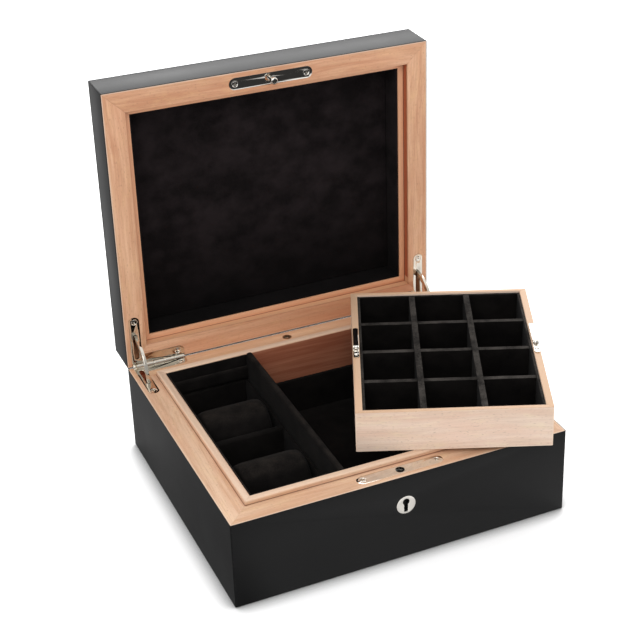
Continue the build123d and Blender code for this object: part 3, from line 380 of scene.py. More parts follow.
def grained(tree, laid, half_x, half_y, light, dark, seed, slant=1.0):
    """Close-grained wood whose streaks and flecks follow each board of a mitred frame."""
    x, y, z = (measured(tree, laid, axis) for axis in "XYZ")
    in_x, in_y = past_edge(tree, x, half_x), past_edge(tree, y, half_y)
    past_mitre = reckon(tree, "SUBTRACT", in_x, times(tree, in_y, slant))
    on_side = reckon(tree, "GREATER_THAN", past_mitre, 0.0)
    along = wire(tree, "ShaderNodeMix", {0: on_side, 2: x, 3: y})
    across = wire(tree, "ShaderNodeMix", {0: on_side, 2: y, 3: x})
    other_board = reckon(
        tree, "ADD", times(tree, reckon(tree, "SIGN", across), 3.1), times(tree, on_side, 7.3)
    )
    moved = reckon(tree, "ADD", along, other_board)
    grain = wire(tree, "ShaderNodeCombineXYZ", (moved, across, z))
    bend = cloud(tree, grain, 5, (1, 1, 1), 1.0, seed=seed + 4)
    sway = wire(tree, "ShaderNodeVectorMath", (bend, (0, 0.02, 0.02)), operation="MULTIPLY")
    bent = wire(tree, "ShaderNodeVectorMath", (grain, sway), operation="ADD")
    broad = cloud(tree, bent, 1, (4, 75, 75), 3.0, 0.55, seed)
    streak = cloud(tree, bent, 1, (14, 420, 420), 3.0, 0.6, seed + 1)
    pore = cloud(tree, bent, 1, (110, 2300, 2300), 2.0, 0.6, seed + 2)
    fleck = cloud(tree, grain, 1, (330, 1500, 1500), 0.0, 0.5, seed + 3)
    curl = cloud(tree, bent, 1, (45, 130, 130), 3.0, 0.7, seed + 6)
    blush = cloud(tree, bent, 1, (9, 60, 60), 2.0, 0.5, seed + 8)
    fine = cloud(tree, bent, 1, (26, 900, 900), 2.0, 0.6, seed + 9)
    tone = reckon(tree, "ADD", times(tree, broad, 0.55), times(tree, streak, 0.45))
    colour = blend_colour(tree, between(tree, tone, 0.40, 0.60), dark, light)
    stain = tinted(dark, 0.62, 0.62, 0.62)
    marks = (
        (curl, 0.5, 0.72, 0.4, tinted(light, 1.05, 1.1, 0.9)),
        (blush, 0.5, 0.75, 0.4, tinted(dark, 1.12, 0.92, 0.88)),
        (pore, 0.55, 0.9, 0.35, stain),
        (fleck, 0.67, 0.75, 0.5, stain),
        (fine, 0.52, 0.68, 0.4, tinted(dark, 0.86, 0.86, 0.86)),
    )
    for mark, faint, full, share, tint in marks:
        colour = blend_colour(tree, between(tree, mark, faint, full, 0, share), colour, tint)
    mitre = reckon(tree, "ABSOLUTE", past_mitre)
    colour = blend_colour(tree, between(tree, mitre, 0.0, 0.3 * mm, 0.22, 0), colour, stain)
    return SimpleNamespace(
        x=x, y=y, z=z, in_x=in_x, in_y=in_y, tone=tone, streak=streak, pore=pore, colour=colour
    )


def oiled(name, tree, wood, colour, arris):
    """Ends a wood: paler along its edges, a painted highlight, satin, with open pores."""
    colour = blend_colour(tree, arris, colour, edge_highlight)
    rough = between(tree, wood.streak, 0.3, 0.7, 0.42, 0.55)
    relief = reckon(tree, "ADD", wood.pore, wood.streak)
    return finish(name, colour, rough, relief, 0.04 * mm, Specular_IOR_Level=0.4)


def rim_wood(name, place, light, dark, seed, joint_and_riser_depths, liner_shade_share, rosy, ruddy):
    """A rim and its liners: a dark joint between the two, which on the lid covers the rabbet's riser
    as a painted shade; red inner faces and a redder lid liner, painted shade; pale edges and lip top,
    painted highlights.
    """
    tree, laid = surface(name, place)
    wood = grained(tree, laid, half_width, half_depth, light, dark, seed)
    inset = reckon(tree, "MAXIMUM", wood.in_x, wood.in_y)
    inner = reckon(tree, "LESS_THAN", inset, -rim_width - 0.2 * mm)
    # On the lid the liners deeper than the rim plane are painted a redder tone, a painted shade.
    liner_shade_mask = times(tree, inner, between(tree, wood.z, 0.3 * mm, 2 * mm, 0, liner_shade_share))
    colour = blend_colour(tree, liner_shade_mask, wood.colour, liner_shade_tone)
    # The hinge-side board is tinted: on the base a warmer tone all along it; on the lid a painted
    # shade of dark red that deepens towards the right.
    at_hinges = between(tree, wood.y, hinge_side - 3 * mm, hinge_side - 1 * mm)
    uneven = reckon(tree, "ADD", wood.x, times(tree, wood.streak, 0.2))
    reddened = between(tree, uneven, -50 * mm, 250 * mm, *ruddy)
    colour = blend_colour(tree, times(tree, at_hinges, reddened), colour, rosy)
    # A dark line along the joint of rim and liner; on the lid it is carried down the whole riser of
    # the rabbet, a painted shade, kept lighter at the hinge side.
    off_seam = reckon(tree, "ABSOLUTE", reckon(tree, "ADD", inset, rim_width))
    line = between(tree, off_seam, 0.1 * mm, 0.55 * mm, 1, 0)
    line = times(tree, line, between(tree, wood.z, *joint_and_riser_depths))
    line = times(tree, line, reckon(tree, "SUBTRACT", 1.0, times(tree, at_hinges, 0.35)))
    colour = blend_colour(tree, line, colour, joint_and_riser_shade)
    # Liner faces that look inward, below the lip, are painted dark red, a painted shade.
    below = between(tree, wood.z, *lip_inside, 0, 0.9)
    facing_in = reckon(tree, "LESS_THAN", inset, -rim_width - liner + 0.1 * mm)
    red = blend_colour(tree, between(tree, wood.tone, 0.42, 0.58), shade_red_dark, shade_red_pale)
    colour = blend_colour(tree, times(tree, below, facing_in), colour, red)
    # Paler near the outer edge and over the top of the lip, a painted highlight.
    arris = between(tree, inset, -black_edge - 1.1 * mm, -black_edge - 0.3 * mm, 0, 0.7)
    arris = reckon(tree, "MAXIMUM", arris, between(tree, wood.z, *lit_lip_top, 0, 0.5))
    return oiled(name, tree, wood, colour, arris)


base_wood = rim_wood(
    "oiled_wood_base",
    Matrix.Identity(4),
    light=(0.79, 0.545, 0.375, 1),
    dark=(0.62, 0.36, 0.22, 1),
    seed=1.0,
    joint_and_riser_depths=(base_height + 0.2 * mm, base_height + 1.0 * mm, 0.75, 0.1),
    liner_shade_share=0.0,
    rosy=(0.80, 0.42, 0.20, 1),
    ruddy=(0.3, 0.3),
)
# The lid's wood is given a pinker, redder tone, in part a painted shade: the redder cast its shaded
# boards take on.
lid_wood = rim_wood(
    "oiled_wood_lid",
    lid_place,
    light=(0.80, 0.485, 0.305, 1),
    dark=(0.60, 0.29, 0.16, 1),
    seed=20.0,
    joint_and_riser_depths=(0.3 * mm, 1.5 * mm, 0.3, 0.95),
    liner_shade_share=0.6,
    rosy=(0.50, 0.19, 0.09, 1),
    ruddy=(0, 0.7),
)
for part, skin in (("base", base_wood), ("lid", lid_wood)):
    eased(f"{part}_rim_strips", "sanded", 0.12 * mm, skin, part)
    for side in ("front", "back", "left", "right"):
        eased(f"{part}_{side}_liner", "sanded", 0.3 * mm, skin, part, 40)

# Suede: every wall, floor and divider inside is card or foam wrapped in black suede,
# its edges rolled over softly and its nap brushed this way and that.
row_gap = 4 * mm
nap_dark, nap_pale = (0.0018, 0.0015, 0.0015, 1), (0.0080, 0.0068, 0.0062)
nap_lit_crest = (0.020, 0.0165, 0.014)
to_right, to_left, to_back, to_front = (1, 0, 0), (-1, 0, 0), (0, 1, 0), (0, -1, 0)
upward, downward = (0, 0, 1), (0, 0, -1)


def suede(name, place=Matrix.Identity(4), pale=nap_pale, crest=None, paler=nap_lit_crest, shaded=None):
    """Black suede with brushed patches and a fine upright nap, painted paler on the upward faces of
    its crests as a painted highlight, and where shaded is given, painted darker along one direction as
    a painted shade.
    """
    tree, laid = surface(name, place)
    brushed = cloud(tree, laid, 26, (1, 1.4, 1.4), 3.0, 0.55, 1.0)
    patch = cloud(tree, laid, 70, (1, 1, 1), 2.0, 0.6, 4.0)
    nap = cloud(tree, laid, 1600, detail=3.0, rough=0.7, seed=7.0)
    hand = reckon(tree, "ADD", times(tree, brushed, 0.65), times(tree, patch, 0.35))
    colour = blend_colour(tree, between(tree, hand, 0.42, 0.60), nap_dark, pale + (1,))
    tips = between(tree, nap, 0.35, 0.7, 0, 0.5)
    colour = blend_colour(tree, tips, colour, tinted(pale, 1.7, 1.7, 1.7))
    if shaded is not None:
        foot = between(tree, measured(tree, laid, "Y"), *shaded, 0, 0.75)
        colour = blend_colour(tree, foot, colour, nap_dark)
    if crest is not None:
        # Upward faces near the crest are painted paler in uneven patches, a painted highlight.
        level_face = measured(tree, wire(tree, "ShaderNodeTexCoord", out="Normal"), "Z")
        high = between(tree, measured(tree, laid, "Z"), crest - 4 * mm, crest)
        hair = cloud(tree, laid, 900, detail=3.0, rough=0.75, seed=11.0)
        paler_share = times(tree, between(tree, level_face, 0.45, 1.0), high)
        uneven = between(tree, reckon(tree, "ADD", hair, patch), 0.85, 1.25, 0.12, 1)
        colour = blend_colour(tree, times(tree, paler_share, uneven), colour, paler + (1,))
    return finish(
        name, colour, 0.95, nap, 0.25 * mm,
        Sheen_Weight=0.02, Sheen_Roughness=0.45, Specular_IOR_Level=0.08,
    )


def solids_in(node, place=Matrix.Identity(4)):
    """The box of each separate solid of a CAD node, in the frame that it was cut in."""
    shape = bmesh.new()
    shape.from_mesh(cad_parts[node].data)
    shape.transform(place.inverted())
    bmesh.ops.remove_doubles(shape, verts=shape.verts, dist=0.002 * mm)
    left, boxes = set(shape.verts), []
    while left:
        ring = [left.pop()]
        solid = list(ring)
        while ring:
            near = [e.other_vert(v) for v in ring for e in v.link_edges]
            ring = [v for v in set(near) if v in left]
            left.difference_update(ring)
            solid += ring
        low = Vector([min(v.co[i] for v in solid) for i in range(3)])
        high = Vector([max(v.co[i] for v in solid) for i in range(3)])
        boxes.append((low, high))
    shape.free()
    return sorted(boxes, key=lambda b: tuple(round(c, 5) for c in b[0]))


def rows(low, high, roll):
    """Where the rows of a wrapped board stand, close together where its edge rolls over."""
    turn = [low + roll * k / 4 for k in range(4)]
    count = max(1, round((high - low - 2 * roll) / row_gap))
    flat = [low + roll + (high - low - 2 * roll) * k / count for k in range(count + 1)]
    return turn + flat + [high - roll * (3 - k) / 4 for k in range(4)]


def wrap(shape, low, high, roll, crown, soft, seed, square):
    """Adds one wrapped board: rolled edges, and a face that swells and dimples a little."""
    rolls = [0.15 * mm if i in square else min(roll, 0.49 * (high[i] - low[i])) for i in range(3)]
    stops = [rows(low[i], high[i], rolls[i]) for i in range(3)]
    made = []
    for axis in range(3):
        a, b = (axis + 1) % 3, (axis + 2) % 3
        for end, way in ((low[axis], -1), (high[axis], 1)):
            grid = []
            for u in stops[a]:
                line = []
                for v in stops[b]:
                    spot = Vector((0, 0, 0))
                    spot[axis], spot[a], spot[b] = end, u, v
                    line.append(shape.verts.new(spot))
                grid.append(line)
                made += line
            for i in range(len(grid) - 1):
                for j in range(len(grid[0]) - 1):
                    ring = [grid[i][j], grid[i + 1][j], grid[i + 1][j + 1], grid[i][j + 1]]
                    shape.faces.new(ring if way > 0 else ring[::-1])
    middle, reach = (low + high) / 2, (high - low) / 2
    for vert in made:
        core = [min(max(vert.co[i], low[i] + rolls[i]), high[i] - rolls[i]) for i in range(3)]
        core = Vector(core)
        out = Vector([(vert.co[i] - core[i]) / rolls[i] for i in range(3)])
        out.normalize()
        spread = [abs(vert.co[i] - middle[i]) / reach[i] for i in range(3)]
        vert.co = core + Vector([out[i] * rolls[i] for i in range(3)])
        face = sum(out[i] * soft[i] for i in range(3))
        if face > 0.1:
            rest = [1 - spread[i] ** 4 for i in range(3) if abs(soft[i]) < 0.5]
            swell = noise.noise(vert.co * 34 + Vector((seed, 0, 0)))
            dimple = noise.noise(vert.co * 90 + Vector((0, seed, 0)))
            ripple = swell + 0.5 * dimple
            vert.co += Vector(soft) * face * rest[0] * rest[1] * crown * (1 + 0.55 * ripple)


def wrapped(
    name, nodes, skin, body, roll, crown, soft,
    place=Matrix.Identity(4), fill=None, boxes=None, square=(),
):
    """Suede boards that stand for CAD solids, box by box, cut square where they butt."""
    shape = bmesh.new()
    found = boxes or [b for n in nodes for b in solids_in(n, place)]
    for k, (low, high) in enumerate(found):
        facing = soft[k] if isinstance(soft, list) else soft
        wrap(shape, low, high, roll, crown, facing, 5.7 * k + len(name), square)
    bmesh.ops.remove_doubles(shape, verts=shape.verts, dist=0.0005 * mm)
    shape.transform(place)
    piece = place_piece(name, shape, skin, body, nodes)
    return piece


base_suede = suede("black_suede_base", crest=68 * mm)
three_walls = [to_right, to_back, to_front]
four_walls = three_walls + [to_left]


def base_boards(name, node, roll, crown, soft, **more):
    """Suede boards of the base."""
    return wrapped(name, [node], base_suede, "base", roll, crown, soft, **more)


base_boards("watch_bay_wall_suede", "watch_bay_lining", 0.5 * mm, 0.2 * mm, three_walls)
base_boards("pocket_wall_suede", "watch_pocket_lining", 1.0 * mm, 0.25 * mm, four_walls, fill=0.6)
base_boards("well_wall_suede", "tray_seat_lining", 0.8 * mm, 0.2 * mm, four_walls, fill=0.6)
base_boards(
    "pocket_partition_suede", "watch_bay_partition", 2.7 * mm, 0.2 * mm, upward,
    fill=0.7, square=(0,),
)
base_boards(
    "bay_back_roll_suede", "watch_bay_back_pad", 3.0 * mm, 0.4 * mm, to_front,
    fill=0.7, square=(0,),
)
base_boards("bay_and_well_floor_suede", "floor_linings", 1.2 * mm, 0.5 * mm, upward, fill=0.5)
base_boards(
    "long_divider_suede", "long_divider", 3.0 * mm, 0.3 * mm, upward,
    fill=0.6, square=(1,),
)

# Lid lining: a thin padded panel of suede glued inside the lid, and four narrow strips
# that cover the liner boards round it.
lid_pale, lid_shade = (0.0145, 0.0108, 0.0115), (10 * mm, 100 * mm)
lid_suede = suede("black_suede_lid", lid_place, lid_pale, shaded=lid_shade)
wrapped("lid_wall_suede", ["lid_side_linings"], lid_suede, "lid", 0.4 * mm, 0.0, downward, lid_place)
wrapped(
    "lid_padded_panel", ["lid_lining_panel"], lid_suede, "lid", 1.4 * mm, 0.8 * mm, downward,
    lid_place, fill=0.5,
)

# Watch cushions: foam blocks with a half-round top, wrapped in suede and closed with a
# sewn cheek at each end. The cloth is blown out a little over the foam.
foam_share = (0.985, 0.975, 0.98, 1)
foam_voxel, blown_at_most = 2.6 * mm, 1.4 * mm
seam_inset, seam_half, seam_depth = 5.5 * mm, 2.2 * mm, 0.7 * mm
air_pressure, cloth_quality, blown_for = 4, 6, 20
for berth in ("rear", "front"):
    node, body = f"watch_cushion_{berth}", f"cushion_{berth}"
    low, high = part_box(node)
    middle = (low + high) / 2
    foam = bmesh.new()
    foam.from_mesh(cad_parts[node].data)
    bmesh.ops.remove_doubles(foam, verts=foam.verts, dist=0.002 * mm)
    shrink = Matrix.Translation(middle) @ Matrix.Diagonal(foam_share) @ Matrix.Translation(-middle)
    foam.transform(shrink)
    mesh = bpy.data.meshes.new(f"foam_{berth}")
    foam.to_mesh(mesh)
    foam.free()
    block = bpy.data.objects.new(f"foam_{berth}", mesh)
    scene.collection.objects.link(block)
    remesh = block.modifiers.new("skin", "REMESH")
    remesh.mode, remesh.voxel_size = "VOXEL", foam_voxel
    graph = bpy.context.evaluated_depsgraph_get()
    skin_mesh = bpy.data.meshes.new_from_object(block.evaluated_get(graph))
    bpy.data.objects.remove(block)
    cover = bpy.data.objects.new(f"cover_{berth}", skin_mesh)
    scene.collection.objects.link(cover)
    cloth = cover.modifiers.new("cloth", "CLOTH")
    cloth.settings.use_pressure = True
    cloth.settings.uniform_pressure_force = air_pressure
    cloth.settings.effector_weights.gravity = 0
    cloth.settings.quality = cloth_quality
    for step in range(blown_for):
        scene.frame_set(step + 1)
    graph = bpy.context.evaluated_depsgraph_get()
    blown = bpy.data.meshes.new_from_object(cover.evaluated_get(graph))
    scene.frame_set(1)
    shape = bmesh.new()
    shape.from_mesh(blown)
    for before, vert in zip(skin_mesh.vertices, shape.verts):
        move = vert.co - before.co
        if move.length > blown_at_most:
            move *= blown_at_most / move.length
        spot = before.co + move
        end = min(spot.x - low.x, high.x - spot.x)
        seam = max(0.0, 1 - abs(end - seam_inset) / seam_half)
        out = Vector((0, spot.y - middle.y, spot.z - middle.z)).normalized()
        spot -= out * seam_depth * seam
        spot.z = max(spot.z, low.z)
        vert.co = spot
    bpy.data.objects.remove(cover)
    bmesh.ops.recalc_face_normals(shape, faces=shape.faces)
    cushion = place_piece(f"{node}_suede", shape, base_suede, body, (node,))
    cushion.data.shade_smooth()
    smooth = cushion.modifiers.new("smooth", "SUBSURF")
    smooth.levels = smooth.render_levels = 1

# Nickel: the hinges, stays, lock and tray handles are brass, buffed and nickel plated,
# mirror bright, a little hazy where fingers and the buffing wheel have been.
nickel_silver, hinge_silver = (0.85, 0.815, 0.755), (0.80, 0.745, 0.65)


def nickel(name, place=Matrix.Identity(4), colour=nickel_silver, rough=0.02):
    """Plated metal, clear where it was buffed last and hazy in streaks along X."""
    tree, laid = surface(name, place)
    tarnish = cloud(tree, laid, 120, detail=3.0)
    buffing = cloud(tree, laid, 1, (120, 3600, 3600), 2.0, 0.6, 3.0)
    bright, dull = colour + (1,), tinted(colour, 0.88, 0.88, 0.88)
    shade = blend_colour(tree, between(tree, tarnish, 0.4, 0.7), bright, dull)
    gloss = between(tree, reckon(tree, "ADD", tarnish, buffing), 0.85, 1.25, rough, rough + 0.07)
    return finish(name, shade, gloss, metallic=1.0)


base_nickel = nickel("nickel_base")
lid_nickel = nickel("nickel_lid", lid_place)
hinge_base_nickel = nickel("nickel_hinge_base", colour=hinge_silver)
hinge_lid_nickel = nickel("nickel_hinge_lid", lid_place, hinge_silver)
steel = nickel("plain_steel", colour=(0.56, 0.55, 0.53), rough=0.28)
for side in ("left", "right"):
    base_leaf, lid_leaf, stay = f"base_{side}_hinge_leaf", f"lid_{side}_hinge_leaf", f"stay_{side}"
    eased(base_leaf, "polished", 0.12 * mm, hinge_base_nickel, "base")
    eased(lid_leaf, "polished", 0.12 * mm, hinge_lid_nickel, "lid")
    eased(stay, "polished", 0.25 * mm, hinge_base_nickel, stay)
eased("hinge_pins", "turned", 0.1 * mm, steel, "base")

# Lock: a face plate let into the front rim over a folded steel case with its sliding
# bolt, a strike plate with a turned mushroom post in the lid, and a round escutcheon.
eased("lock_face_plate", "polished", 0.05 * mm, base_nickel, "base")
eased("strike_plate", "polished", 0.15 * mm, lid_nickel, "lid")
eased("strike_post", "turned", 0.2 * mm, lid_nickel, "lid")
eased("keyhole_escutcheon", "polished", 0.5 * mm, base_nickel, "base")
# The cup's metal is coloured dark brown, a painted shade for the inside of its recess.
cup_metal_in_shade = nickel("nickel_cup_in_shade", colour=(0.42, 0.34, 0.27), rough=0.1)
eased("rear_rim_cup", "turned", 0.2 * mm, cup_metal_in_shade, "base")
eased("lock_case", "folded", 0.1 * mm, steel, "base")
eased("lock_bolt", "stamped", 0.1 * mm, steel, "lock_bolt")

# Screws: countersunk, cross-recessed, plated like the plates that they hold. Each is
# driven to its own angle; its rim sits below the plate and its low crown just above it.
screws = bpy.data.node_groups.new("countersunk_screws", "GeometryNodeTree")
face = screws.interface
face.new_socket("Places", in_out="INPUT", socket_type="NodeSocketGeometry")
screw_sizes = (
    ("Head radius", 2.8 * mm),
    ("Shank radius", 1.3 * mm),
    ("Point radius", 0.6 * mm),
    ("Head height", 1.6 * mm),
    ("Shank length", 10.2 * mm),
    ("Recess width", 0.95 * mm),
    ("Recess reach", 3.5 * mm),
    ("Recess depth", 1.3 * mm),
    ("Crown radius", 2.0 * mm),
    ("Crown foot", 2.66 * mm),
    ("Crown height", 0.4 * mm),
    ("Crown sunk", 0.1 * mm),
    ("Sunk", 0.25 * mm),
)
for label, value in screw_sizes:
    face.new_socket(label, in_out="INPUT", socket_type="NodeSocketFloat").default_value = value
face.new_socket("Seed", in_out="INPUT", socket_type="NodeSocketInt").default_value = 3
face.new_socket("Plating", in_out="INPUT", socket_type="NodeSocketMaterial")
face.new_socket("Screws", in_out="OUTPUT", socket_type="NodeSocketGeometry")
given = screws.nodes.new("NodeGroupInput").outputs


def raised(tree, shape, height):
    """A shape of the tree, moved straight up, or down where the height is less than 0."""
    shift = wire(tree, "ShaderNodeCombineXYZ", (0.0, 0.0, height))
    return wire(tree, "GeometryNodeTransform", {"Geometry": shape, "Translation": shift})


def cone(tree, sides, top, foot, height):
    """A turned shape of the tree, standing on its foot."""
    sizes = {"Vertices": sides, "Radius Top": top, "Radius Bottom": foot, "Depth": height}
    return wire(tree, "GeometryNodeMeshCone", sizes)


def fused(tree, first, second):
    """Two shapes of the tree made one."""
    whole = wire(
        tree, "GeometryNodeMeshBoolean", {"Mesh 2": first}, operation="UNION", solver="EXACT"
    )
    tree.links.new(second, whole.node.inputs["Mesh 2"])
    return whole


drop = times(screws, given["Head height"], -1.0)
head = cone(screws, 40, given["Head radius"], given["Shank radius"], given["Head height"])
crown = cone(screws, 40, given["Crown radius"], given["Crown foot"], given["Crown height"])
crown = raised(screws, crown, times(screws, given["Crown sunk"], -1.0))
head = fused(screws, raised(screws, head, drop), crown)
shank = cone(screws, 20, given["Shank radius"], given["Point radius"], given["Shank length"])
shank = raised(screws, shank, reckon(screws, "SUBTRACT", drop, given["Shank length"]))
blade_height = times(screws, given["Recess depth"], 2.0)
blade_size = (given["Recess reach"], given["Recess width"], blade_height)
blade_size = wire(screws, "ShaderNodeCombineXYZ", blade_size)
blade = wire(screws, "GeometryNodeMeshCube", {"Size": blade_size})
quarter_turn = {"Geometry": blade, "Rotation": (0, 0, radians(90))}
bit = fused(screws, blade, wire(screws, "GeometryNodeTransform", quarter_turn))
recess = {"Mesh 1": head, "Mesh 2": bit}
cut = wire(screws, "GeometryNodeMeshBoolean", recess, operation="DIFFERENCE", solver="EXACT")
joined = screws.nodes.new("GeometryNodeJoinGeometry")
screws.links.new(shank, joined.inputs[0])
screws.links.new(cut, joined.inputs[0])
any_turn = {0: (0, 0, 0), 1: (0, 0, 3.14), "Seed": given["Seed"]}
turned = wire(screws, "FunctionNodeRandomValue", any_turn, data_type="FLOAT_VECTOR")
sunk = wire(screws, "ShaderNodeCombineXYZ", (0.0, 0.0, times(screws, given["Sunk"], -1.0)))
lowered = wire(screws, "GeometryNodeSetPosition", {"Geometry": given["Places"], "Offset": sunk})
set_in = {"Points": lowered, "Instance": joined.outputs[0], "Rotation": turned}
driven = wire(screws, "GeometryNodeInstanceOnPoints", set_in)
solid = wire(screws, "GeometryNodeRealizeInstances", {"Geometry": driven})
plated = wire(screws, "GeometryNodeSetMaterial", {"Geometry": solid, "Material": given["Plating"]})
screws.links.new(plated, screws.nodes.new("NodeGroupOutput").inputs[0])


def grown(name, seeds, tree, values, place, skin, body, nodes):
    """Runs a tree of nodes on a mesh of points and keeps the result as a plain piece."""
    start = bpy.data.meshes.new(name)
    start.from_pydata(seeds, [], [])
    maker = bpy.data.objects.new(name + "_maker", start)
    scene.collection.objects.link(maker)
    rule = maker.modifiers.new("rule", "NODES")
    rule.node_group = tree
    names = {s.name: s.identifier for s in tree.interface.items_tree if s.in_out == "INPUT"}
    for key, value in values.items():
        rule[names[key]] = value
    graph = bpy.context.evaluated_depsgraph_get()
    result = bpy.data.meshes.new_from_object(maker.evaluated_get(graph))
    maker.modifiers.clear()
    bpy.data.objects.remove(maker)
    shape = bmesh.new()
    shape.from_mesh(result)
    bpy.data.meshes.remove(result)
    shape.transform(place)
    return place_piece(name, shape, skin, body, nodes)


hinge_arm_end, hinge_side_end, lock_end = (140.25, 85.85), (102.5, 124), (33, -120.2)
screw_places = [(way * x, y) for x, y in (hinge_arm_end, hinge_side_end, lock_end) for way in (1, -1)]
base_points = [(x * mm, y * mm, base_height) for x, y in screw_places]
lid_points = [(x * mm, -y * mm, 0) for x, y in screw_places]
head_down = lid_place @ Matrix.Rotation(pi, 4, "X")
for part, points, place, plating, seed in (
    ("base", base_points, Matrix.Identity(4), base_nickel, 3),
    ("lid", lid_points, head_down, lid_nickel, 8),
):
    name, values = f"{part}_cross_screws", {"Plating": plating, "Seed": seed}
    held = (f"{part}_screws",)
    grown(name, points, screws, values, place, plating, part, held)

# Tray boards: a shallow mitred frame of the same pale wood, the palest of the three,
# with a thin bottom let into a groove.
tray_corner, tray_turn = (-23.9 * mm, -87.1 * mm, 84.3 * mm), 23.1
tray_place = Matrix.Translation(tray_corner) @ Matrix.Rotation(radians(-tray_turn), 4, "Z")
tray_width, tray_length, tray_height = 162 * mm, 205 * mm, 37.5 * mm
side_board, end_board, tops_from = 6 * mm, 4 * mm, tray_height - 0.5 * mm
tray_middle = tray_place @ Matrix.Translation((tray_width / 2, tray_length / 2, 0))
light, dark = (0.82, 0.665, 0.55, 1), (0.72, 0.525, 0.405, 1)
tree, laid = surface("oiled_wood_tray", tray_middle)
wood = grained(
    tree, laid, tray_width / 2, tray_length / 2, light, dark, 40.0, slant=side_board / end_board
)
# Paler at the vertical corners and along the lower edge, a painted highlight.
corner = between(tree, reckon(tree, "MINIMUM", wood.in_x, wood.in_y), -1.2 * mm, -0.5 * mm)
arris = reckon(tree, "MAXIMUM", corner, between(tree, wood.z, 0.4 * mm, 1.0 * mm, 1, 0))
arris = times(tree, arris, reckon(tree, "LESS_THAN", wood.z, tops_from))
tops = between(tree, wood.z, tops_from, tray_height - 0.2 * mm, 0, 0.75)
colour = blend_colour(tree, tops, wood.colour, tinted(dark, 0.86, 0.72, 0.53))
tray_wood = oiled("oiled_wood_tray", tree, wood, colour, arris)
for side in ("front", "back", "left", "right"):
    eased(f"tray_{side}_board", "sanded", 0.35 * mm, tray_wood, "tray")
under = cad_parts["tray_bottom"]
under.data.materials.clear()
under.data.materials.append(plain_board)

# Tray lining: card wrapped in suede round the four sides and over the floor, painted paler on its
# upward faces near the top, a painted highlight.
tray_crest, tray_lit_crest = tray_height - 3 * mm, (0.066, 0.059, 0.053)
tray_suede = suede("black_suede_tray", tray_place, crest=tray_crest, paler=tray_lit_crest)
side_lining, floor_lining, lining_drop, panel_top = 2.5 * mm, 1.5 * mm, 1.5 * mm, 4.5 * mm
left, front = side_board, end_board
right, back = tray_width - side_board, tray_length - end_board
in_left, in_front = left + side_lining, front + side_lining
in_right, in_back = right - side_lining, back - side_lining
floor_top, lining_top = panel_top + floor_lining, tray_height - lining_drop
tray_boxes = [
    (Vector((left, front, panel_top)), Vector((right, back, floor_top))),
    (Vector((left, front, panel_top)), Vector((in_left, back, lining_top))),
    (Vector((in_right, front, panel_top)), Vector((right, back, lining_top))),
    (Vector((in_left, front, panel_top)), Vector((in_right, in_front, lining_top))),
    (Vector((in_left, in_back, panel_top)), Vector((in_right, back, lining_top))),
]
wrapped(
    "tray_wall_and_floor_suede",
    ["tray_lining"],
    tray_suede,
    "tray",
    0.7 * mm,
    0.2 * mm,
    [upward, to_right, to_left, to_back, to_front],
    tray_place,
    boxes=tray_boxes,
)

# Tray dividers: padded strips with round crests, two long ones front to back and three
# short ones between them in each column, pushed in tight.
ring_gap, round_share, lumps_per_metre = 2.5 * mm, 0.49, 55.0
dividers = bpy.data.node_groups.new("padded_dividers", "GeometryNodeTree")
face = dividers.interface
face.new_socket("Places", in_out="INPUT", socket_type="NodeSocketGeometry")
divider_sizes = (
    ("Length", 100 * mm),
    ("Thickness", 5 * mm),
    ("Height", 30 * mm),
    ("Softness", 0.4 * mm),
)
for label, value in divider_sizes:
    face.new_socket(label, in_out="INPUT", socket_type="NodeSocketFloat").default_value = value
face.new_socket("Seed", in_out="INPUT", socket_type="NodeSocketInt").default_value = 1
face.new_socket("Suede", in_out="INPUT", socket_type="NodeSocketMaterial")
face.new_socket("Dividers", in_out="OUTPUT", socket_type="NodeSocketGeometry")
given = dividers.nodes.new("NodeGroupInput").outputs
section = {"Width": given["Thickness"], "Height": given["Height"]}
outline = wire(dividers, "GeometryNodeCurvePrimitiveQuadrilateral", section)
spot = wire(dividers, "GeometryNodeInputPosition")
high_up = reckon(dividers, "GREATER_THAN", measured(dividers, spot, "Y"), 0.0)
round_r = times(dividers, high_up, times(dividers, given["Thickness"], round_share))
rounding = {"Curve": outline, "Radius": round_r, "Count": 7}
crest = wire(dividers, "GeometryNodeFilletCurve", rounding, mode="POLY")
far_end = wire(dividers, "ShaderNodeCombineXYZ", (given["Length"], 0.0, 0.0))
run = wire(dividers, "GeometryNodeCurvePrimitiveLine", {"Start": (0, 0, 0), "End": far_end})
run = wire(dividers, "GeometryNodeResampleCurve", {"Curve": run, "Length": ring_gap}, mode="LENGTH")
swept = {"Curve": run, "Profile Curve": crest, "Fill Caps": True}
strip = wire(dividers, "GeometryNodeCurveToMesh", swept)
strip = raised(dividers, strip, times(dividers, given["Height"], 0.5))
stood = {"Points": given["Places"], "Instance": strip}
set_down = wire(dividers, "GeometryNodeInstanceOnPoints", stood)
solid = wire(dividers, "GeometryNodeRealizeInstances", {"Geometry": set_down})
stuffing = {"Vector": spot, "W": given["Seed"], "Scale": lumps_per_metre, "Detail": 1.0}
lump = wire(dividers, "ShaderNodeTexNoise", stuffing, 1, noise_dimensions="4D")
lump = wire(dividers, "ShaderNodeVectorMath", (lump, (0.5, 0.5, 0.5)), operation="SUBTRACT")
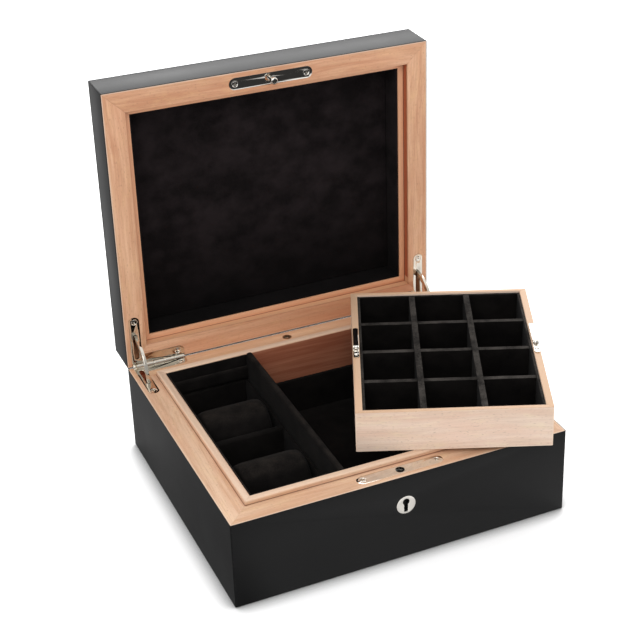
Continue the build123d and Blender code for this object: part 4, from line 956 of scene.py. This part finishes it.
lump = wire(dividers, "ShaderNodeVectorMath", {0: lump, "Scale": given["Softness"]}, operation="SCALE")
solid = wire(dividers, "GeometryNodeSetPosition", {"Geometry": solid, "Offset": lump})
clad = wire(dividers, "GeometryNodeSetMaterial", {"Geometry": solid, "Material": given["Suede"]})
dividers.links.new(clad, dividers.nodes.new("NodeGroupOutput").inputs[0])

long_thick, long_drop, cross_thick, cross_drop = 5.2 * mm, 1.2 * mm, 4.6 * mm, 3.0 * mm
inner_x, inner_y = right - left - 2 * side_lining, back - front - 2 * side_lining
cell_x, cell_y = (inner_x - 2 * long_thick) / 3, (inner_y - 3 * cross_thick) / 4
long_sizes = {
    "Length": inner_y,
    "Thickness": long_thick,
    "Height": tray_height - long_drop - floor_top,
    "Suede": tray_suede,
    "Seed": 4,
}
short_sizes = {
    "Length": cell_x,
    "Thickness": cross_thick,
    "Height": tray_height - cross_drop - floor_top,
    "Suede": tray_suede,
    "Seed": 9,
}
long_lines = [in_left + k * cell_x + (k - 0.5) * long_thick for k in (1, 2)]
long_places = [(in_front, -x, floor_top) for x in long_lines]
column_ends = [in_left + j * (cell_x + long_thick) for j in range(3)]
cross_lines = [in_front + k * cell_y + (k - 0.5) * cross_thick for k in (1, 2, 3)]
short_places = [(x, y, floor_top) for x in column_ends for y in cross_lines]
along_y = tray_place @ Matrix.Rotation(radians(90), 4, "Z")
for kind, places, sizes, place in (
    ("long", long_places, long_sizes, along_y),
    ("cross", short_places, short_sizes, tray_place),
):
    node = f"tray_{kind}_dividers"
    strips = grown(
        f"{node}_suede", places, dividers, sizes, place, tray_suede, "tray", (node,)
    )

# Tray handles: on each side board a small plate with two ears, and a flat lever that
# turns up between them on a pin; a cross-headed screw holds the plate.
tray_nickel = nickel("nickel_tray", tray_place)
eased("tray_handle_plates", "polished", 0.15 * mm, tray_nickel, "tray")
eased("tray_handle_screws", "polished", 0.15 * mm, tray_nickel, "tray")
for lever in ("tray_handle_left", "tray_handle_right"):
    eased(lever, "polished", 0.25 * mm, tray_nickel, lever)
